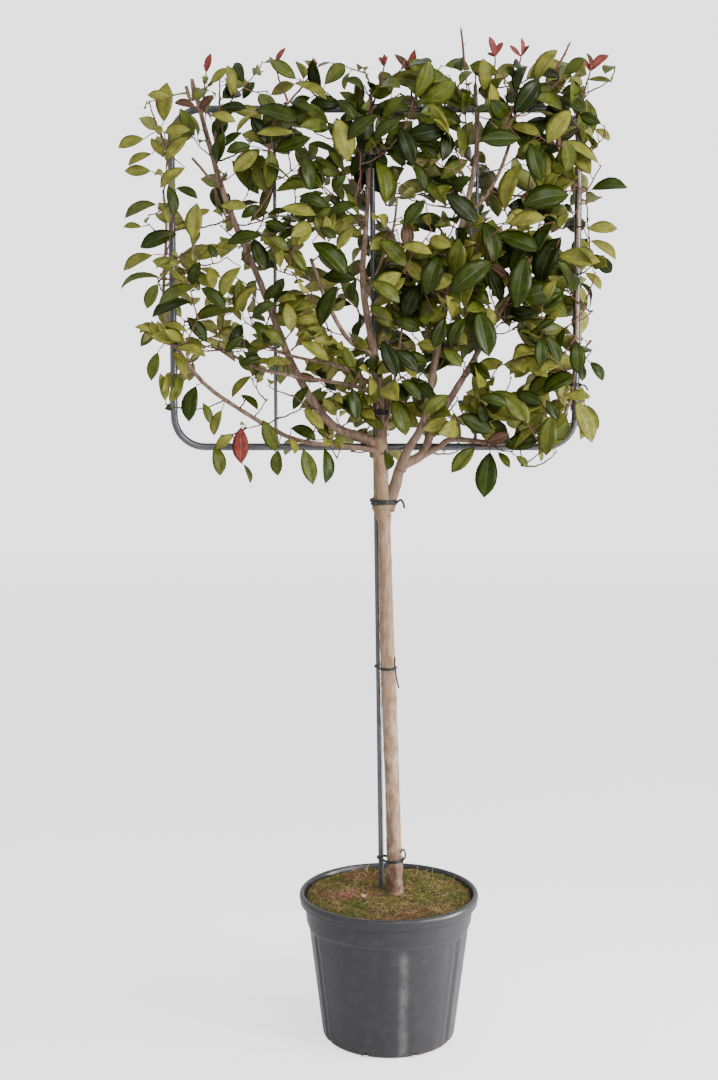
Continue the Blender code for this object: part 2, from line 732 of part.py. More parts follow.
class Mass:
    """One mass of foliage: a stem, twigs that branch by a seeded rule, and leaves at their ends."""

    def __init__(self, name, obstacles):
        self.name = name
        self.obstacles = obstacles
        carrier, height, low, high, self.twig_count, seed = MASSES[name]
        self.rng = random.Random(seed)
        self.low = np.array((low[0], CROWN_FRONT, low[1]))
        self.high = np.array((high[0], CROWN_BACK, high[1]))
        self.twigs = []
        self.leaves = []
        self.leaf_samples = []
        self.twig_samples = []
        self.set_start(carrier, height)

    def set_start(self, carrier, height):
        """The stem starts at the carrier's tip, or on its side towards the middle of the box."""
        path, radii = bough_line(carrier)
        if height == TIP:
            self.way = end_way(path)
            self.start = path[-1] + self.way * GAP
            return
        centre, radius = axis_at(path, radii, height)
        above = axis_at(path, radii, height + 2 * SLANT_STEP)[0]
        along = unit(above - centre)
        out = 0.5 * (self.low + self.high) - centre - np.array((0.0, STEM_FRONT_PULL, 0.0))
        self.way = unit(out - along * out.dot(along))
        self.start = centre + self.way * (radius + GAP)

    def spaced(self, samples, others, least):
        """True if every sample keeps the least distance to the others."""
        if not others:
            return True
        away = np.asarray(samples)[:, None, :] - np.asarray(others)[None, :, :]
        return bool((away ** 2).sum(2).min() > least * least)

    def inside(self, samples, margin):
        samples = np.asarray(samples)
        return bool((samples > self.low + margin).all() and (samples < self.high - margin).all())

    def targets(self):
        """Places spread evenly over the box, in front of the frame and behind it in turn."""
        size = self.high - self.low
        columns = max(2, round(math.sqrt(self.twig_count * size[0] / size[2])))
        rows = math.ceil(self.twig_count / columns)
        places = []
        for row in range(rows):
            for column in range(columns):
                x = self.low[0] + size[0] * (column + self.rng.uniform(*TARGET_SPREAD)) / columns
                z = self.low[2] + size[2] * (row + self.rng.uniform(*TARGET_SPREAD)) / rows
                side = 1.0 if (row + column) % 2 else -1.0
                y = 0.5 * (CROWN_FRONT + CROWN_BACK) + side * self.rng.uniform(*CROWN_SPREAD)
                places.append((np.array((x, y, z)), None))
        for x, z in REACH.get(self.name, ()):
            tip = np.array((x, self.rng.uniform(*REACH_DEPTH), z))
            middle = 0.5 * (self.low + self.high)
            pull = unit((middle - tip) * np.array((1.0, 0.3, 1.0)))
            places.append((tip + pull * REACH_LEAF, tip))
        for x, z in BARE_TIPS.get(self.name, ()):
            tip = np.array((x, self.rng.uniform(*BARE_DEPTH), z))
            places.append((tip, BARE))
        places.sort(key=lambda place: float(np.linalg.norm(place[0] - self.start)))
        return places

    def grow(self):
        first = self.start + self.way * STEM_LENGTH
        self.rings = [(self.start, self.way), (first, self.way)]
        self.twigs.append(([self.start, first], [STEM_RADIUS, STEM_RADIUS]))
        for place, tip in self.targets():
            self.grow_twig(place, tip)

    def grow_twig(self, place, tip):
        """Join the place to the nearest twig that lies below it, by an arching shoot."""
        def cost(ring):
            reach = place - ring[0]
            drop = max(0.0, LEAST_RISE - float(reach[2]))
            return float(np.linalg.norm(reach)) + DOWNWARD_COST * drop

        for parent, _ in sorted(self.rings[1:], key=cost)[:PARENT_TRIES]:
            reach = place - parent
            level = math.hypot(reach[0], reach[1])
            bend = parent + 0.5 * reach - np.array((0.0, 0.0, SHOOT_ARCH * level))
            path = []
            for step in range(TWIG_RINGS):
                t = step / (TWIG_RINGS - 1)
                path.append((1 - t) ** 2 * parent + 2 * t * (1 - t) * bend + t * t * place)
            samples = []
            for a, b in zip(path, path[1:]):
                samples += [a + (b - a) * share for share in np.linspace(0.0, 1.0, TWIG_SAMPLES)]
            if not self.inside(samples, TWIG_RADIUS + CELL_MARGIN):
                continue
            if self.obstacles.clearance(samples) < TWIG_RADIUS + TWIG_CLEARANCE:
                continue
            free = [s for s in samples if np.linalg.norm(s - parent) > TWIG_FREE]
            if not self.spaced(free, self.leaf_samples, LEAF_SPACING):
                continue
            ways = [unit(b - a) for a, b in zip(path, path[1:])]
            ways.append(ways[-1])
            radii = [TWIG_RADIUS + (TWIG_TIP_RADIUS - TWIG_RADIUS) * step / (TWIG_RINGS - 1)
                     for step in range(TWIG_RINGS)]
            self.twigs.append((path, radii))
            self.twig_samples += samples
            self.rings += list(zip(path, ways))[1:]
            if tip is not BARE:
                self.add_leaves(path, ways, tip)
            return

    def add_leaves(self, path, ways, tip):
        """A whorl at the shoot's end, and one leaf on the way to it."""
        turn = self.rng.uniform(0.0, math.tau)
        root = path[-1] - ways[-1] * 0.5 * ROOT_SPACING
        if tip is not None:
            self.add_leaf(root, unit(tip - root), float(np.linalg.norm(tip - root)))
            root = root - ways[-1] * ROOT_SPACING
        for _ in range(self.rng.randint(*WHORL)):
            for _ in range(LEAF_TRIES):
                turn += GOLDEN_TURN + self.rng.uniform(-LEAF_TURN_SPREAD, LEAF_TURN_SPREAD)
                spread = math.radians(self.rng.uniform(*LEAF_SPREAD))
                if self.add_spread_leaf(root, ways[-1], turn, spread):
                    root = root - ways[-1] * ROOT_SPACING
                    break
        middle = path[-1] + (path[-2] - path[-1]) * self.rng.uniform(*BACK_LEAF_AT)
        for _ in range(LEAF_TRIES):
            turn += GOLDEN_TURN
            if self.add_spread_leaf(middle, ways[1], turn, math.radians(LEAF_SPREAD[1])):
                break

    def add_spread_leaf(self, root, way, turn, spread):
        side = unit(np.cross(way, (0.31, 0.87, 0.38)))
        other = np.cross(way, side)
        out = side * math.cos(turn) + other * math.sin(turn)
        axis = unit(way * math.cos(spread) + out * math.sin(spread))
        return self.add_leaf(root, axis, self.rng.uniform(*LEAF_LENGTH))

    def add_leaf(self, root, axis, length):
        """An eight-faced blade with its root sunk in the twig and its broad side to the light."""
        forward = -LEAF_LIGHT_FRONT if root[1] < FRAME_Y else LEAF_LIGHT_FRONT
        light = unit((self.rng.uniform(-LEAF_LIGHT_SIDE, LEAF_LIGHT_SIDE), forward,
                      self.rng.uniform(*LEAF_LIGHT_TOP)))
        across = unit(np.cross(axis, light))
        up = np.cross(across, axis)
        half = 0.5 * LEAF_WIDTH_SHARE * length
        base = root - axis * LEAF_ROOT
        widest = root + axis * LEAF_WIDEST_AT * length
        end = root + axis * length
        corners = [base, end, widest - across * half, widest + across * half,
                   widest + up * 0.5 * LEAF_THICKNESS, widest - up * 0.5 * LEAF_THICKNESS]
        samples = []
        for share in np.linspace(LEAF_SAMPLES_FROM, 1.0, LEAF_SAMPLES_LONG):
            if share < LEAF_WIDEST_AT:
                width = half * share / LEAF_WIDEST_AT
            else:
                width = half * (1.0 - share) / (1.0 - LEAF_WIDEST_AT)
            for side in LEAF_SAMPLES_WIDE:
                samples.append(root + axis * share * length + across * side * width)
        if not self.inside(corners, CELL_MARGIN):
            return False
        if self.obstacles.clearance(samples) < LEAF_CLEARANCE:
            return False
        free = samples[int(len(samples) * LEAF_FREE_SHARE):]
        if not self.spaced(free, self.leaf_samples + self.twig_samples, LEAF_SPACING):
            return False
        self.leaf_samples += free
        self.leaves.append(corners)
        return True

    def build(self):
        """One union joins the twigs and leaves into a single solid."""
        pile = bpy.data.collections.new("pile")
        bpy.context.scene.collection.children.link(pile)
        solids = []
        for path, radii in self.twigs:
            points, faces = tube_mesh(path, radii, TWIG_SIDES)
            solids.append(new_object("twig", points, faces, "foliage", pile))
        leaf_faces = [(0, 2, 4), (0, 4, 3), (0, 3, 5), (0, 5, 2),
                      (1, 4, 2), (1, 3, 4), (1, 5, 3), (1, 2, 5)]
        for corners in self.leaves:
            solids.append(new_object("leaf", corners, leaf_faces, "foliage", pile))
        whole = solids.pop(0)
        pile.objects.unlink(whole)
        bpy.context.scene.collection.objects.link(whole)
        whole.name = self.name
        join = whole.modifiers.new("join", 'BOOLEAN')
        join.operation = 'UNION'
        join.solver = 'EXACT'
        join.operand_type = 'COLLECTION'
        join.collection = pile
        bake(whole)
        whole.data.name = self.name
        for solid in solids:
            bpy.data.objects.remove(solid, do_unlink=True)
        bpy.data.collections.remove(pile)


def main():
    clear_scene()
    make_pot()
    make_soil()
    shade_round(new_object("trunk", *trunk_mesh(), "bark"))
    for name in BOUGHS:
        make_bough(name)
    make_frame()
    for name in TIES:
        make_tie(name)
    obstacles = Obstacles()
    for name in MASSES:
        mass = Mass(name, obstacles)
        mass.grow()
        mass.build()


main()
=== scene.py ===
# %% [markdown]
# Potted red tip photinia, trained flat on a tube frame.
# The plant is a half-standard: a clear trunk from the pot to a graft knob, and above it a fan of
# boughs tied to a rounded frame of steel tube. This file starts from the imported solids, keeps
# their places and sizes, and gives each of them its real surface. Everything is in metres, +Z is
# up, +X runs to the right along the flat crown, and +Y from its front to its back.

import math
import random

import bpy
import numpy as np
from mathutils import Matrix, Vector, noise


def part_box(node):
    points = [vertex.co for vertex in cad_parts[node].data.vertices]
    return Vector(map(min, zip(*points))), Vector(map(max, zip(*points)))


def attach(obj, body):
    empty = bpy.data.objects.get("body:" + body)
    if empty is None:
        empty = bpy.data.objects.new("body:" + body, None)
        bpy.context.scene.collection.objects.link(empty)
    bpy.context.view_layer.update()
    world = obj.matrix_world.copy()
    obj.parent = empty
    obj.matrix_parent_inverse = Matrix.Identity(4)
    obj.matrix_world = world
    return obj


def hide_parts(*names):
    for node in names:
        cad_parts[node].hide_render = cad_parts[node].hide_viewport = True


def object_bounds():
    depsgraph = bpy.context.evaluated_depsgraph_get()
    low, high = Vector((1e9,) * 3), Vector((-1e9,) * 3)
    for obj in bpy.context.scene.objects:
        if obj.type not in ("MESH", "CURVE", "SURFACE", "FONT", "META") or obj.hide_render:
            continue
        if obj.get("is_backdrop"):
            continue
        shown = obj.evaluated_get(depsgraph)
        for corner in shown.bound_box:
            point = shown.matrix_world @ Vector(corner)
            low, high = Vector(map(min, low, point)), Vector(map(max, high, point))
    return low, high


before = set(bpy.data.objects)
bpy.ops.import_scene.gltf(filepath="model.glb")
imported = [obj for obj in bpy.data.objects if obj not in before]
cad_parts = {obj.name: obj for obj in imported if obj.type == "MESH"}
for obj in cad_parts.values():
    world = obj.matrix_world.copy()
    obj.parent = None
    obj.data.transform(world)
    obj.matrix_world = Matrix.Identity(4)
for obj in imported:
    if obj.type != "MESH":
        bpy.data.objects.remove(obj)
CAD_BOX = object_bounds()
CAD_LOW, CAD_HIGH = (np.array(corner) for corner in CAD_BOX)
print("solids loaded:", len(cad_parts), "from", CAD_LOW.round(3), "to", CAD_HIGH.round(3))

# %% [markdown]
# The camera.
# A camera can be turned to look at a target, or be given its place and tilt as measured. The
# photograph gives both: the lens stands 3.2 m in front of the plant at chest height and looks
# slightly down. The long side of the picture is the sensor's 36 mm side, so the focal length in
# pixels gives the lens directly.

# %% Camera
PHOTO_WIDTH_PX = 718
PHOTO_HEIGHT_PX = 1080
FOCAL_PX = 1450.0
SENSOR_MM = 36.0
CAMERA_PLACE = (-0.0675, -3.20, 1.43)
CAMERA_DOWN_DEG = 5.4

lens = bpy.data.cameras.new("camera")
lens.sensor_width = SENSOR_MM
lens.lens = SENSOR_MM * FOCAL_PX / PHOTO_HEIGHT_PX
camera = bpy.data.objects.new("camera", lens)
camera.location = CAMERA_PLACE
camera.rotation_euler = (math.radians(90.0 - CAMERA_DOWN_DEG), 0.0, 0.0)
bpy.context.scene.collection.objects.link(camera)
bpy.context.scene.camera = camera
print("camera lens", round(lens.lens, 2), "mm")

# %% [markdown]
# From the photograph to the plant.
# Single leaves, cut ends and openings in the crown are known by where they show in the
# photograph. Their pixels could be turned into metres by hand, but then nobody could check them.
# So they stay pixels here, and the same pinhole rule that the camera follows turns them into
# places, at a depth that is chosen for each.

# %% Pixels and places
DOWN = math.radians(CAMERA_DOWN_DEG)


def in_photo(places):
    """Where places are seen, in the photograph's pixels from its top left corner."""
    right, away, up = (np.atleast_2d(places) - CAMERA_PLACE).T
    ahead = away * math.cos(DOWN) - up * math.sin(DOWN)
    above = up * math.cos(DOWN) + away * math.sin(DOWN)
    return np.stack([PHOTO_WIDTH_PX / 2 + FOCAL_PX * right / ahead,
                     PHOTO_HEIGHT_PX / 2 - FOCAL_PX * above / ahead], axis=1)


def from_photo(across_px, down_px, y=0.0):
    """The place that is seen at a pixel, at a given depth."""
    right = (across_px - PHOTO_WIDTH_PX / 2) / FOCAL_PX
    above = (PHOTO_HEIGHT_PX / 2 - down_px) / FOCAL_PX
    way = np.array((right, math.cos(DOWN) + above * math.sin(DOWN),
                    above * math.cos(DOWN) - math.sin(DOWN)))
    return np.array(CAMERA_PLACE) + way * (y - CAMERA_PLACE[1]) / way[1]


print("the pot's foot is seen at", in_photo((0.0, 0.0, 0.0)).round(1)[0])

# %% [markdown]
# One way to make every piece.
# Each piece here is a mesh made from points and faces, because bark, leaves and moss all come
# from small rules that put out points. A heap gathers the points and faces of many small things
# of one kind, so that a thousand leaves become one mesh and not a thousand objects.

# %% Heaps and pieces
class Heap:
    """Points and faces of many small things that become one mesh."""

    def __init__(self):
        self.points = []
        self.faces = []
        self.kinds = []
        self.count = 0

    def add(self, points, faces, kinds=0):
        points = np.asarray(points, float).reshape(-1, 3)
        start = self.count
        self.points.append(points)
        self.faces.extend(tuple(index + start for index in face) for face in faces)
        if isinstance(kinds, int):
            kinds = [kinds] * len(faces)
        self.kinds.extend(kinds)
        self.count += len(points)


def make_piece(name, heap, finishes, stands_for=(), sharp_deg=None):
    """One smooth piece from a heap, riding on the plant's only body."""
    mesh = bpy.data.meshes.new(name)
    mesh.from_pydata(np.concatenate(heap.points).tolist(), [], heap.faces)
    for finish in finishes:
        mesh.materials.append(finish)
    mesh.polygons.foreach_set("material_index", heap.kinds)
    mesh.shade_smooth()
    if sharp_deg:
        mesh.set_sharp_from_angle(angle=math.radians(sharp_deg))
    piece = bpy.data.objects.new(name, mesh)
    bpy.context.scene.collection.objects.link(piece)
    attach(piece, "root")
    if stands_for:
        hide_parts(*stands_for)
    triangles = sum(len(face) - 2 for face in heap.faces)
    print(f"{name}: {triangles} triangles")


def unit(vector):
    vector = np.asarray(vector, float)
    return vector / max(float(np.linalg.norm(vector)), 1e-9)


# %% [markdown]
# Curves and tubes.
# Limbs, frame and ties are all tubes along a curve. The curve passes through a few places read
# from the photograph and is smooth between them. The tube carries a ring of points along it, and
# a relief rule may push each point in or out, which is how bark gets its real shape.

# %% Curves and tubes
def curve_through(places, step):
    """A smooth curve through the places, with points about one step apart."""
    knots = [np.array(place, float) for place in places]
    knots = [2 * knots[0] - knots[1]] + knots + [2 * knots[-1] - knots[-2]]
    path = []
    for a, b, c, d in zip(knots, knots[1:], knots[2:], knots[3:]):
        parts = max(1, round(float(np.linalg.norm(c - b)) / step))
        for part in range(parts):
            t = part / parts
            path.append(0.5 * (2 * b + (c - a) * t + (2 * a - 5 * b + 4 * c - d) * t * t
                               + (3 * b - a - 3 * c + d) * t ** 3))
    path.append(knots[-2])
    return np.array(path)


def lengths_along(path):
    """How far along the path each of its places lies."""
    steps = np.linalg.norm(np.diff(path, axis=0), axis=1)
    return np.concatenate([[0.0], np.cumsum(steps)])


def tube(path, radii, sides, relief=None, closed=False, round_end=0.5):
    """Points and faces of a tube. Relief is a rule of (length along, turn, place) to height."""
    path = np.asarray(path, float)
    count = len(path)
    if closed:
        ways = np.roll(path, -1, axis=0) - np.roll(path, 1, axis=0)
    else:
        ways = np.gradient(path, axis=0)
    run = lengths_along(path)
    across = np.cross(unit(ways[0]), (0.0, 1.0, 0.0))
    if np.linalg.norm(across) < 0.1:
        across = np.cross(unit(ways[0]), (1.0, 0.0, 0.0))
    points = []
    for index in range(count):
        way = unit(ways[index])
        across = unit(across - way * np.dot(across, way))
        beside = np.cross(way, across)
        for side in range(sides):
            turn = math.tau * side / sides
            out = across * math.cos(turn) + beside * math.sin(turn)
            reach = radii[index]
            if relief:
                reach += relief(run[index], turn, path[index] + out * reach)
            points.append(path[index] + out * reach)
    faces = []
    for ring in range(count if closed else count - 1):
        low = ring * sides
        high = (ring + 1) % count * sides
        for side in range(sides):
            after = (side + 1) % sides
            faces.append((low + side, low + after, high + after, high + side))
    if not closed:
        first, last = len(points), len(points) + 1
        points.append(path[0] - unit(ways[0]) * radii[0] * round_end)
        points.append(path[-1] + unit(ways[-1]) * radii[-1] * round_end)
        top = (count - 1) * sides
        for side in range(sides):
            after = (side + 1) % sides
            faces.append((first, after, side))
            faces.append((last, top + side, top + after))
    return points, faces


def ring_round(centre, across, beside, radius, sides):
    """Places of a circle in the plane of two directions."""
    turns = [math.tau * side / sides for side in range(sides)]
    return [centre + (across * math.cos(turn) + beside * math.sin(turn)) * radius for turn in turns]


def pointed_rings(first, rings, last):
    """Points and faces of a closed form: a point, one ring after another, and a point."""
    sides = len(rings[0])
    points = [first, *(point for ring in rings for point in ring), last]
    tip = len(points) - 1
    top = tip - sides
    faces = []
    for side in range(sides):
        after = (side + 1) % sides
        faces.append((0, 1 + after, 1 + side))
        for low in range(1, top, sides):
            faces.append((low + side, low + after, low + sides + after, low + sides + side))
        faces.append((top + side, top + after, tip))
    return points, faces


# %% [markdown]
# Effects that several finishes share.
# Mottling, long streaks and dust turn up on plastic, bark, steel and leaves alike. Each is a
# node group that puts out a mask or a colour, and every finish places it with its own values,
# so the effect is built once and tuned where it is used.

# %% Node helpers
def add_node(tree, kind, settings=None, **inputs):
    """A node with plain settings, and inputs by name: a value, or a socket to link from."""
    node = tree.nodes.new(kind)
    for key, value in (settings or {}).items():
        setattr(node, key, value)
    for key, value in inputs.items():
        socket = node.inputs[int(key[1:])] if key[0] == "_" else node.inputs[key.replace("_", " ")]
        if isinstance(value, bpy.types.NodeSocket):
            tree.links.new(value, socket)
        else:
            socket.default_value = value
    return node


def new_group(name, takes, gives):
    """An empty effect with named inputs (name, kind, value) and outputs (name, kind)."""
    tree = bpy.data.node_groups.new(name, "ShaderNodeTree")
    for label, kind, value in takes:
        socket = tree.interface.new_socket(label, in_out="INPUT", socket_type="NodeSocket" + kind)
        if value is not None:
            socket.default_value = value
    for label, kind in gives:
        tree.interface.new_socket(label, in_out="OUTPUT", socket_type="NodeSocket" + kind)
    return tree, tree.nodes.new("NodeGroupInput").outputs, tree.nodes.new("NodeGroupOutput").inputs


def place_group(tree, effect, **inputs):
    return add_node(tree, "ShaderNodeGroup", {"node_tree": effect}, **inputs).outputs


def new_finish(name, colour, roughness, **sockets):
    """A material whose even values sit on the shader's own sockets."""
    finish = bpy.data.materials.new(name)
    finish.use_nodes = True
    tree = finish.node_tree
    shader = tree.nodes["Principled BSDF"]
    shader.inputs["Base Color"].default_value = (*colour, 1.0)
    shader.inputs["Roughness"].default_value = roughness
    for label, value in sockets.items():
        shader.inputs[label.replace("_", " ")].default_value = value
    return finish, tree, shader.inputs


def place_of(tree):
    """The object's own coordinates, which are metres here."""
    return add_node(tree, "ShaderNodeTexCoord").outputs["Object"]


def blend_colour(tree, share, first, second):
    """A colour between two, each of them three values or a socket."""
    first, second = (colour if isinstance(colour, bpy.types.NodeSocket) else (*colour, 1.0)
                     for colour in (first, second))
    return add_node(tree, "ShaderNodeMix", {"data_type": "RGBA"}, _0=share, _6=first,
                    _7=second).outputs[2]


def between(tree, value, low, high, at_low=0.0, at_high=1.0):
    """A value spread smoothly from one range to another."""
    return add_node(tree, "ShaderNodeMapRange", {"interpolation_type": "SMOOTHSTEP"}, Value=value,
                    From_Min=low, From_Max=high, To_Min=at_low, To_Max=at_high).outputs[0]


def multiply(tree, product, *others):
    """The product of two or more values."""
    for other in others:
        product = add_node(tree, "ShaderNodeMath", {"operation": "MULTIPLY"}, _0=product,
                           _1=other).outputs[0]
    return product


def bump(tree, height, distance, strength):
    return add_node(tree, "ShaderNodeBump", Height=height, Distance=distance,
                    Strength=strength).outputs[0]


# %% Effect: mottle
mottle, take, give = new_group(
    "mottle",
    [("Place", "Vector", None), ("Scale", "Float", 40.0), ("From", "Float", 0.35),
     ("To", "Float", 0.65)],
    [("Mask", "Float")])
cloud = add_node(mottle, "ShaderNodeTexNoise", Vector=take["Place"], Scale=take["Scale"],
                 Detail=5.0, Roughness=0.6).outputs["Fac"]
mottle.links.new(between(mottle, cloud, take["From"], take["To"]), give["Mask"])

# %% Effect: streaks
streaks, take, give = new_group(
    "streaks",
    [("Place", "Vector", None), ("Stretch", "Vector", (60.0, 60.0, 8.0)), ("From", "Float", 0.4),
     ("To", "Float", 0.7)],
    [("Mask", "Float"), ("Height", "Float")])
drawn = add_node(streaks, "ShaderNodeVectorMath", {"operation": "MULTIPLY"},
                 _0=take["Place"], _1=take["Stretch"])
lines = add_node(streaks, "ShaderNodeTexNoise", Vector=drawn.outputs[0], Scale=1.0,
                 Detail=6.0, Roughness=0.65).outputs["Fac"]
streaks.links.new(between(streaks, lines, take["From"], take["To"]), give["Mask"])
streaks.links.new(lines, give["Height"])

# %% Effect: dust
dust, take, give = new_group(
    "dust",
    [("Place", "Vector", None), ("Colour", "Color", (0.1, 0.1, 0.1, 1.0)),
     ("Dust colour", "Color", (0.4, 0.38, 0.35, 1.0)), ("Amount", "Float", 0.3),
     ("Scale", "Float", 90.0)],
    [("Colour", "Color")])
grains = add_node(dust, "ShaderNodeTexNoise", Vector=take["Place"], Scale=take["Scale"],
                  Detail=8.0, Roughness=0.7).outputs["Fac"]
amount = multiply(dust, between(dust, grains, 0.42, 0.72), take["Amount"])
dust.links.new(blend_colour(dust, amount, take["Colour"], take["Dust colour"]), give["Colour"])
print("effects:", [effect.name for effect in bpy.data.node_groups])


# %% Finish helpers
def mottled(tree, place, scale, low=0.3, high=0.7):
    """The mask of the mottle effect, at a scale."""
    return place_group(tree, mottle, Place=place, Scale=scale, From=low, To=high)["Mask"]


def dusted(tree, place, tint, dust_tint, amount, scale):
    """A colour with some dust on it."""
    return place_group(tree, dust, Place=place, Colour=(*tint, 1.0), Dust_colour=(*dust_tint, 1.0),
                       Amount=amount, Scale=scale)["Colour"]


def patchy_finish(name, tint, roughness, scale, first, second, low=0.3, high=0.7):
    """A material whose colour lies between two tints, in soft patches."""
    finish, tree, sockets = new_finish(name, tint, roughness)
    mask = mottled(tree, place_of(tree), scale, low, high)
    tree.links.new(blend_colour(tree, mask, first, second), sockets["Base Color"])
    return finish


# %% [markdown]
# The pot.
# It is a moulded 40 cm nursery pot of dark grey plastic. A lathe outline gives its main shape, but
# the real wall isn't round all over: three flutes run up it, broad soft facets lie between them,
# the collar's lower edge rises and falls, and drain notches cut the foot. So each ring's radius
# depends on where it is round the pot. The inside is made too, down to the floor.

# %% Pot: sizes
POT_SIDES = 360
POT_FRONT_DEG = -90.0
FLUTES_DEG = (-64.0, 56.0, 176.0)
FLUTE_HALF_DEG = 2.3
FLUTE_DEPTH = 0.0024
FACET_COUNT = 18
FACET_DEPTH = 0.0005
NOTCHES_DEG = (-63.0, -21.0, 22.0, 64.0, 109.0, 153.0, 198.0, 243.0)
NOTCH_HALF_DEG = 2.0
NOTCH_DEPTH = 0.005
NOTCH_TOP = 0.012
NOTCHED_BEYOND = 0.14
STEP_DROP = 0.006
STEP_DROP_HALF_DEG = 14.0

# Radius, height, and how much of the flutes and facets shows there
POT_OUTSIDE = (
    (0.0000, 0.0000, 0.0), (0.1380, 0.0000, 0.0), (0.1425, 0.0004, 0.0), (0.1462, 0.0018, 0.0),
    (0.1488, 0.0042, 0.2), (0.1500, 0.0075, 0.3), (0.1509, 0.0120, 0.5), (0.1522, 0.0220, 0.8),
    (0.1544, 0.0400, 1.0), (0.1594, 0.0800, 1.0), (0.1644, 0.1200, 1.0), (0.1694, 0.1600, 1.0),
    (0.1738, 0.1950, 1.0), (0.1770, 0.2200, 1.0), (0.1790, 0.2370, 1.0), (0.1801, 0.2470, 0.9),
    (0.1808, 0.2530, 0.7), (0.1818, 0.2565, 0.5), (0.1836, 0.2595, 0.3), (0.1852, 0.2618, 0.1),
    (0.1862, 0.2650, 0.0), (0.1872, 0.2740, 0.0), (0.1890, 0.2900, 0.0), (0.1898, 0.3000, 0.0),
    (0.1904, 0.3040, 0.0), (0.1925, 0.3058, 0.0), (0.1970, 0.3062, 0.0), (0.1997, 0.3066, 0.0),
    (0.2006, 0.3078, 0.0), (0.2009, 0.3110, 0.0), (0.2010, 0.3150, 0.0), (0.2013, 0.3168, 0.0),
    (0.2021, 0.3178, 0.0), (0.2024, 0.3195, 0.0), (0.2024, 0.3225, 0.0), (0.2018, 0.3258, 0.0),
    (0.2003, 0.3282, 0.0), (0.1983, 0.3296, 0.0), (0.1962, 0.3300, 0.0), (0.1940, 0.3295, 0.0),
    (0.1922, 0.3280, 0.0), (0.1911, 0.3258, 0.0), (0.1902, 0.3225, 0.0), (0.1886, 0.3160, 0.0),
    (0.1866, 0.3060, 0.0), (0.1856, 0.3000, 0.0), (0.1766, 0.2580, 0.5), (0.1555, 0.0800, 0.5),
    (0.1462, 0.0120, 0.0), (0.1440, 0.0100, 0.0), (0.0000, 0.0100, 0.0),
)
STEP_RINGS = (0.2530, 0.2650)


# %% Pot: turn the outline
def turn_gap(angle, other):
    """Degrees between two bearings, 0 to 180."""
    return abs((angle - other + 180.0) % 360.0 - 180.0)


def pot_point(radius, height, shape, bearing):
    """One point of the wall. The bearing is 0 at the front and runs to the right."""
    flute_gap = min(turn_gap(bearing, flute) for flute in FLUTES_DEG)
    radius -= shape * FLUTE_DEPTH * math.exp(-(flute_gap / FLUTE_HALF_DEG) ** 4)
    lip = math.exp(-((flute_gap - 2.1 * FLUTE_HALF_DEG) / FLUTE_HALF_DEG) ** 2)
    radius += shape * 0.3 * FLUTE_DEPTH * lip
    radius -= shape * FACET_DEPTH * (1.0 - math.cos(math.radians(FACET_COUNT * bearing))) / 2
    if STEP_RINGS[0] <= height <= STEP_RINGS[1]:
        height -= STEP_DROP * (math.exp(-(flute_gap / STEP_DROP_HALF_DEG) ** 2) - 0.35)
    if height < NOTCH_TOP and radius > NOTCHED_BEYOND:
        notch_gap = min(turn_gap(bearing, notch) for notch in NOTCHES_DEG)
        radius -= NOTCH_DEPTH * math.exp(-(notch_gap / NOTCH_HALF_DEG) ** 6)
    angle = math.radians(POT_FRONT_DEG + bearing)
    return radius * math.cos(angle), radius * math.sin(angle), height


def turned_heap(outline, sides, point_at):
    """A closed turned mesh whose outline starts and ends on the axis, from the bottom up."""
    heap = Heap()
    points, faces, rings = [], [], []
    for radius, height, shape in outline:
        if radius == 0.0:
            rings.append([len(points)] * sides)
            points.append(point_at(radius, height, shape, 0.0))
            continue
        rings.append(list(range(len(points), len(points) + sides)))
        for side in range(sides):
            points.append(point_at(radius, height, shape, 360.0 * side / sides))
    for low, high in zip(rings, rings[1:]):
        for side in range(sides):
            after = (side + 1) % sides
            corners = (low[side], low[after], high[after], high[side])
            faces.append(tuple(dict.fromkeys(corners)))
    heap.add(points, faces)
    return heap


# %% [markdown]
# The pot's plastic.
# It is satin grey with a soft sheen, dusty from the nursery, with one pale run of dried water down
# the front, which also paints a highlight band there, and some brown soil at the foot. The sheen
# comes from the shader's roughness, and the dust, the run with its painted highlight and the soil
# from the shared effects, held to their places by bearing and height.

# %% Pot: finish
POT_GREY = (0.026, 0.026, 0.029)
RUN_AND_HIGHLIGHT_X = 0.029

pot_finish, tree, sockets = new_finish("pot_plastic_grey", POT_GREY, 0.34,
                                       Specular_IOR_Level=0.40)
place = place_of(tree)
dusty = dusted(tree, place, POT_GREY, (0.12, 0.116, 0.112), 0.12, 45.0)
axes = add_node(tree, "ShaderNodeSeparateXYZ", _0=place).outputs
patchy = mottled(tree, place, 22.0, 0.35, 0.65)
# The pale run down the front is dried water, and it also paints the highlight band that lies there.
run_and_highlight_streaks = place_group(tree, streaks, Place=place, Stretch=(420.0, 420.0, 9.0), From=0.30, To=0.72)
away = add_node(tree, "ShaderNodeMath", {"operation": "ABSOLUTE"}, _0=add_node(
    tree, "ShaderNodeMath", {"operation": "SUBTRACT"}, _0=axes["X"], _1=RUN_AND_HIGHLIGHT_X).outputs[0])
run = between(tree, away.outputs[0], 0.001, 0.015, 1.0, 0.0)
front = between(tree, axes["Y"], -0.11, -0.10, 1.0, 0.0)
below = between(tree, axes["Z"], 0.235, 0.262, 1.0, 0.0)
run = multiply(tree, run, front, below, between(tree, run_and_highlight_streaks["Mask"], 0.0, 1.0, 0.18, 0.48),
               between(tree, patchy, 0.0, 1.0, 0.45, 1.0))
foot = multiply(tree, between(tree, axes["Z"], 0.002, 0.030, 0.75, 0.0),
                mottled(tree, place, 60.0, 0.52, 0.68))
colour = blend_colour(tree, run, dusty, (0.22, 0.215, 0.205))
colour = blend_colour(tree, foot, colour, (0.10, 0.055, 0.028))
tree.links.new(colour, sockets["Base Color"])
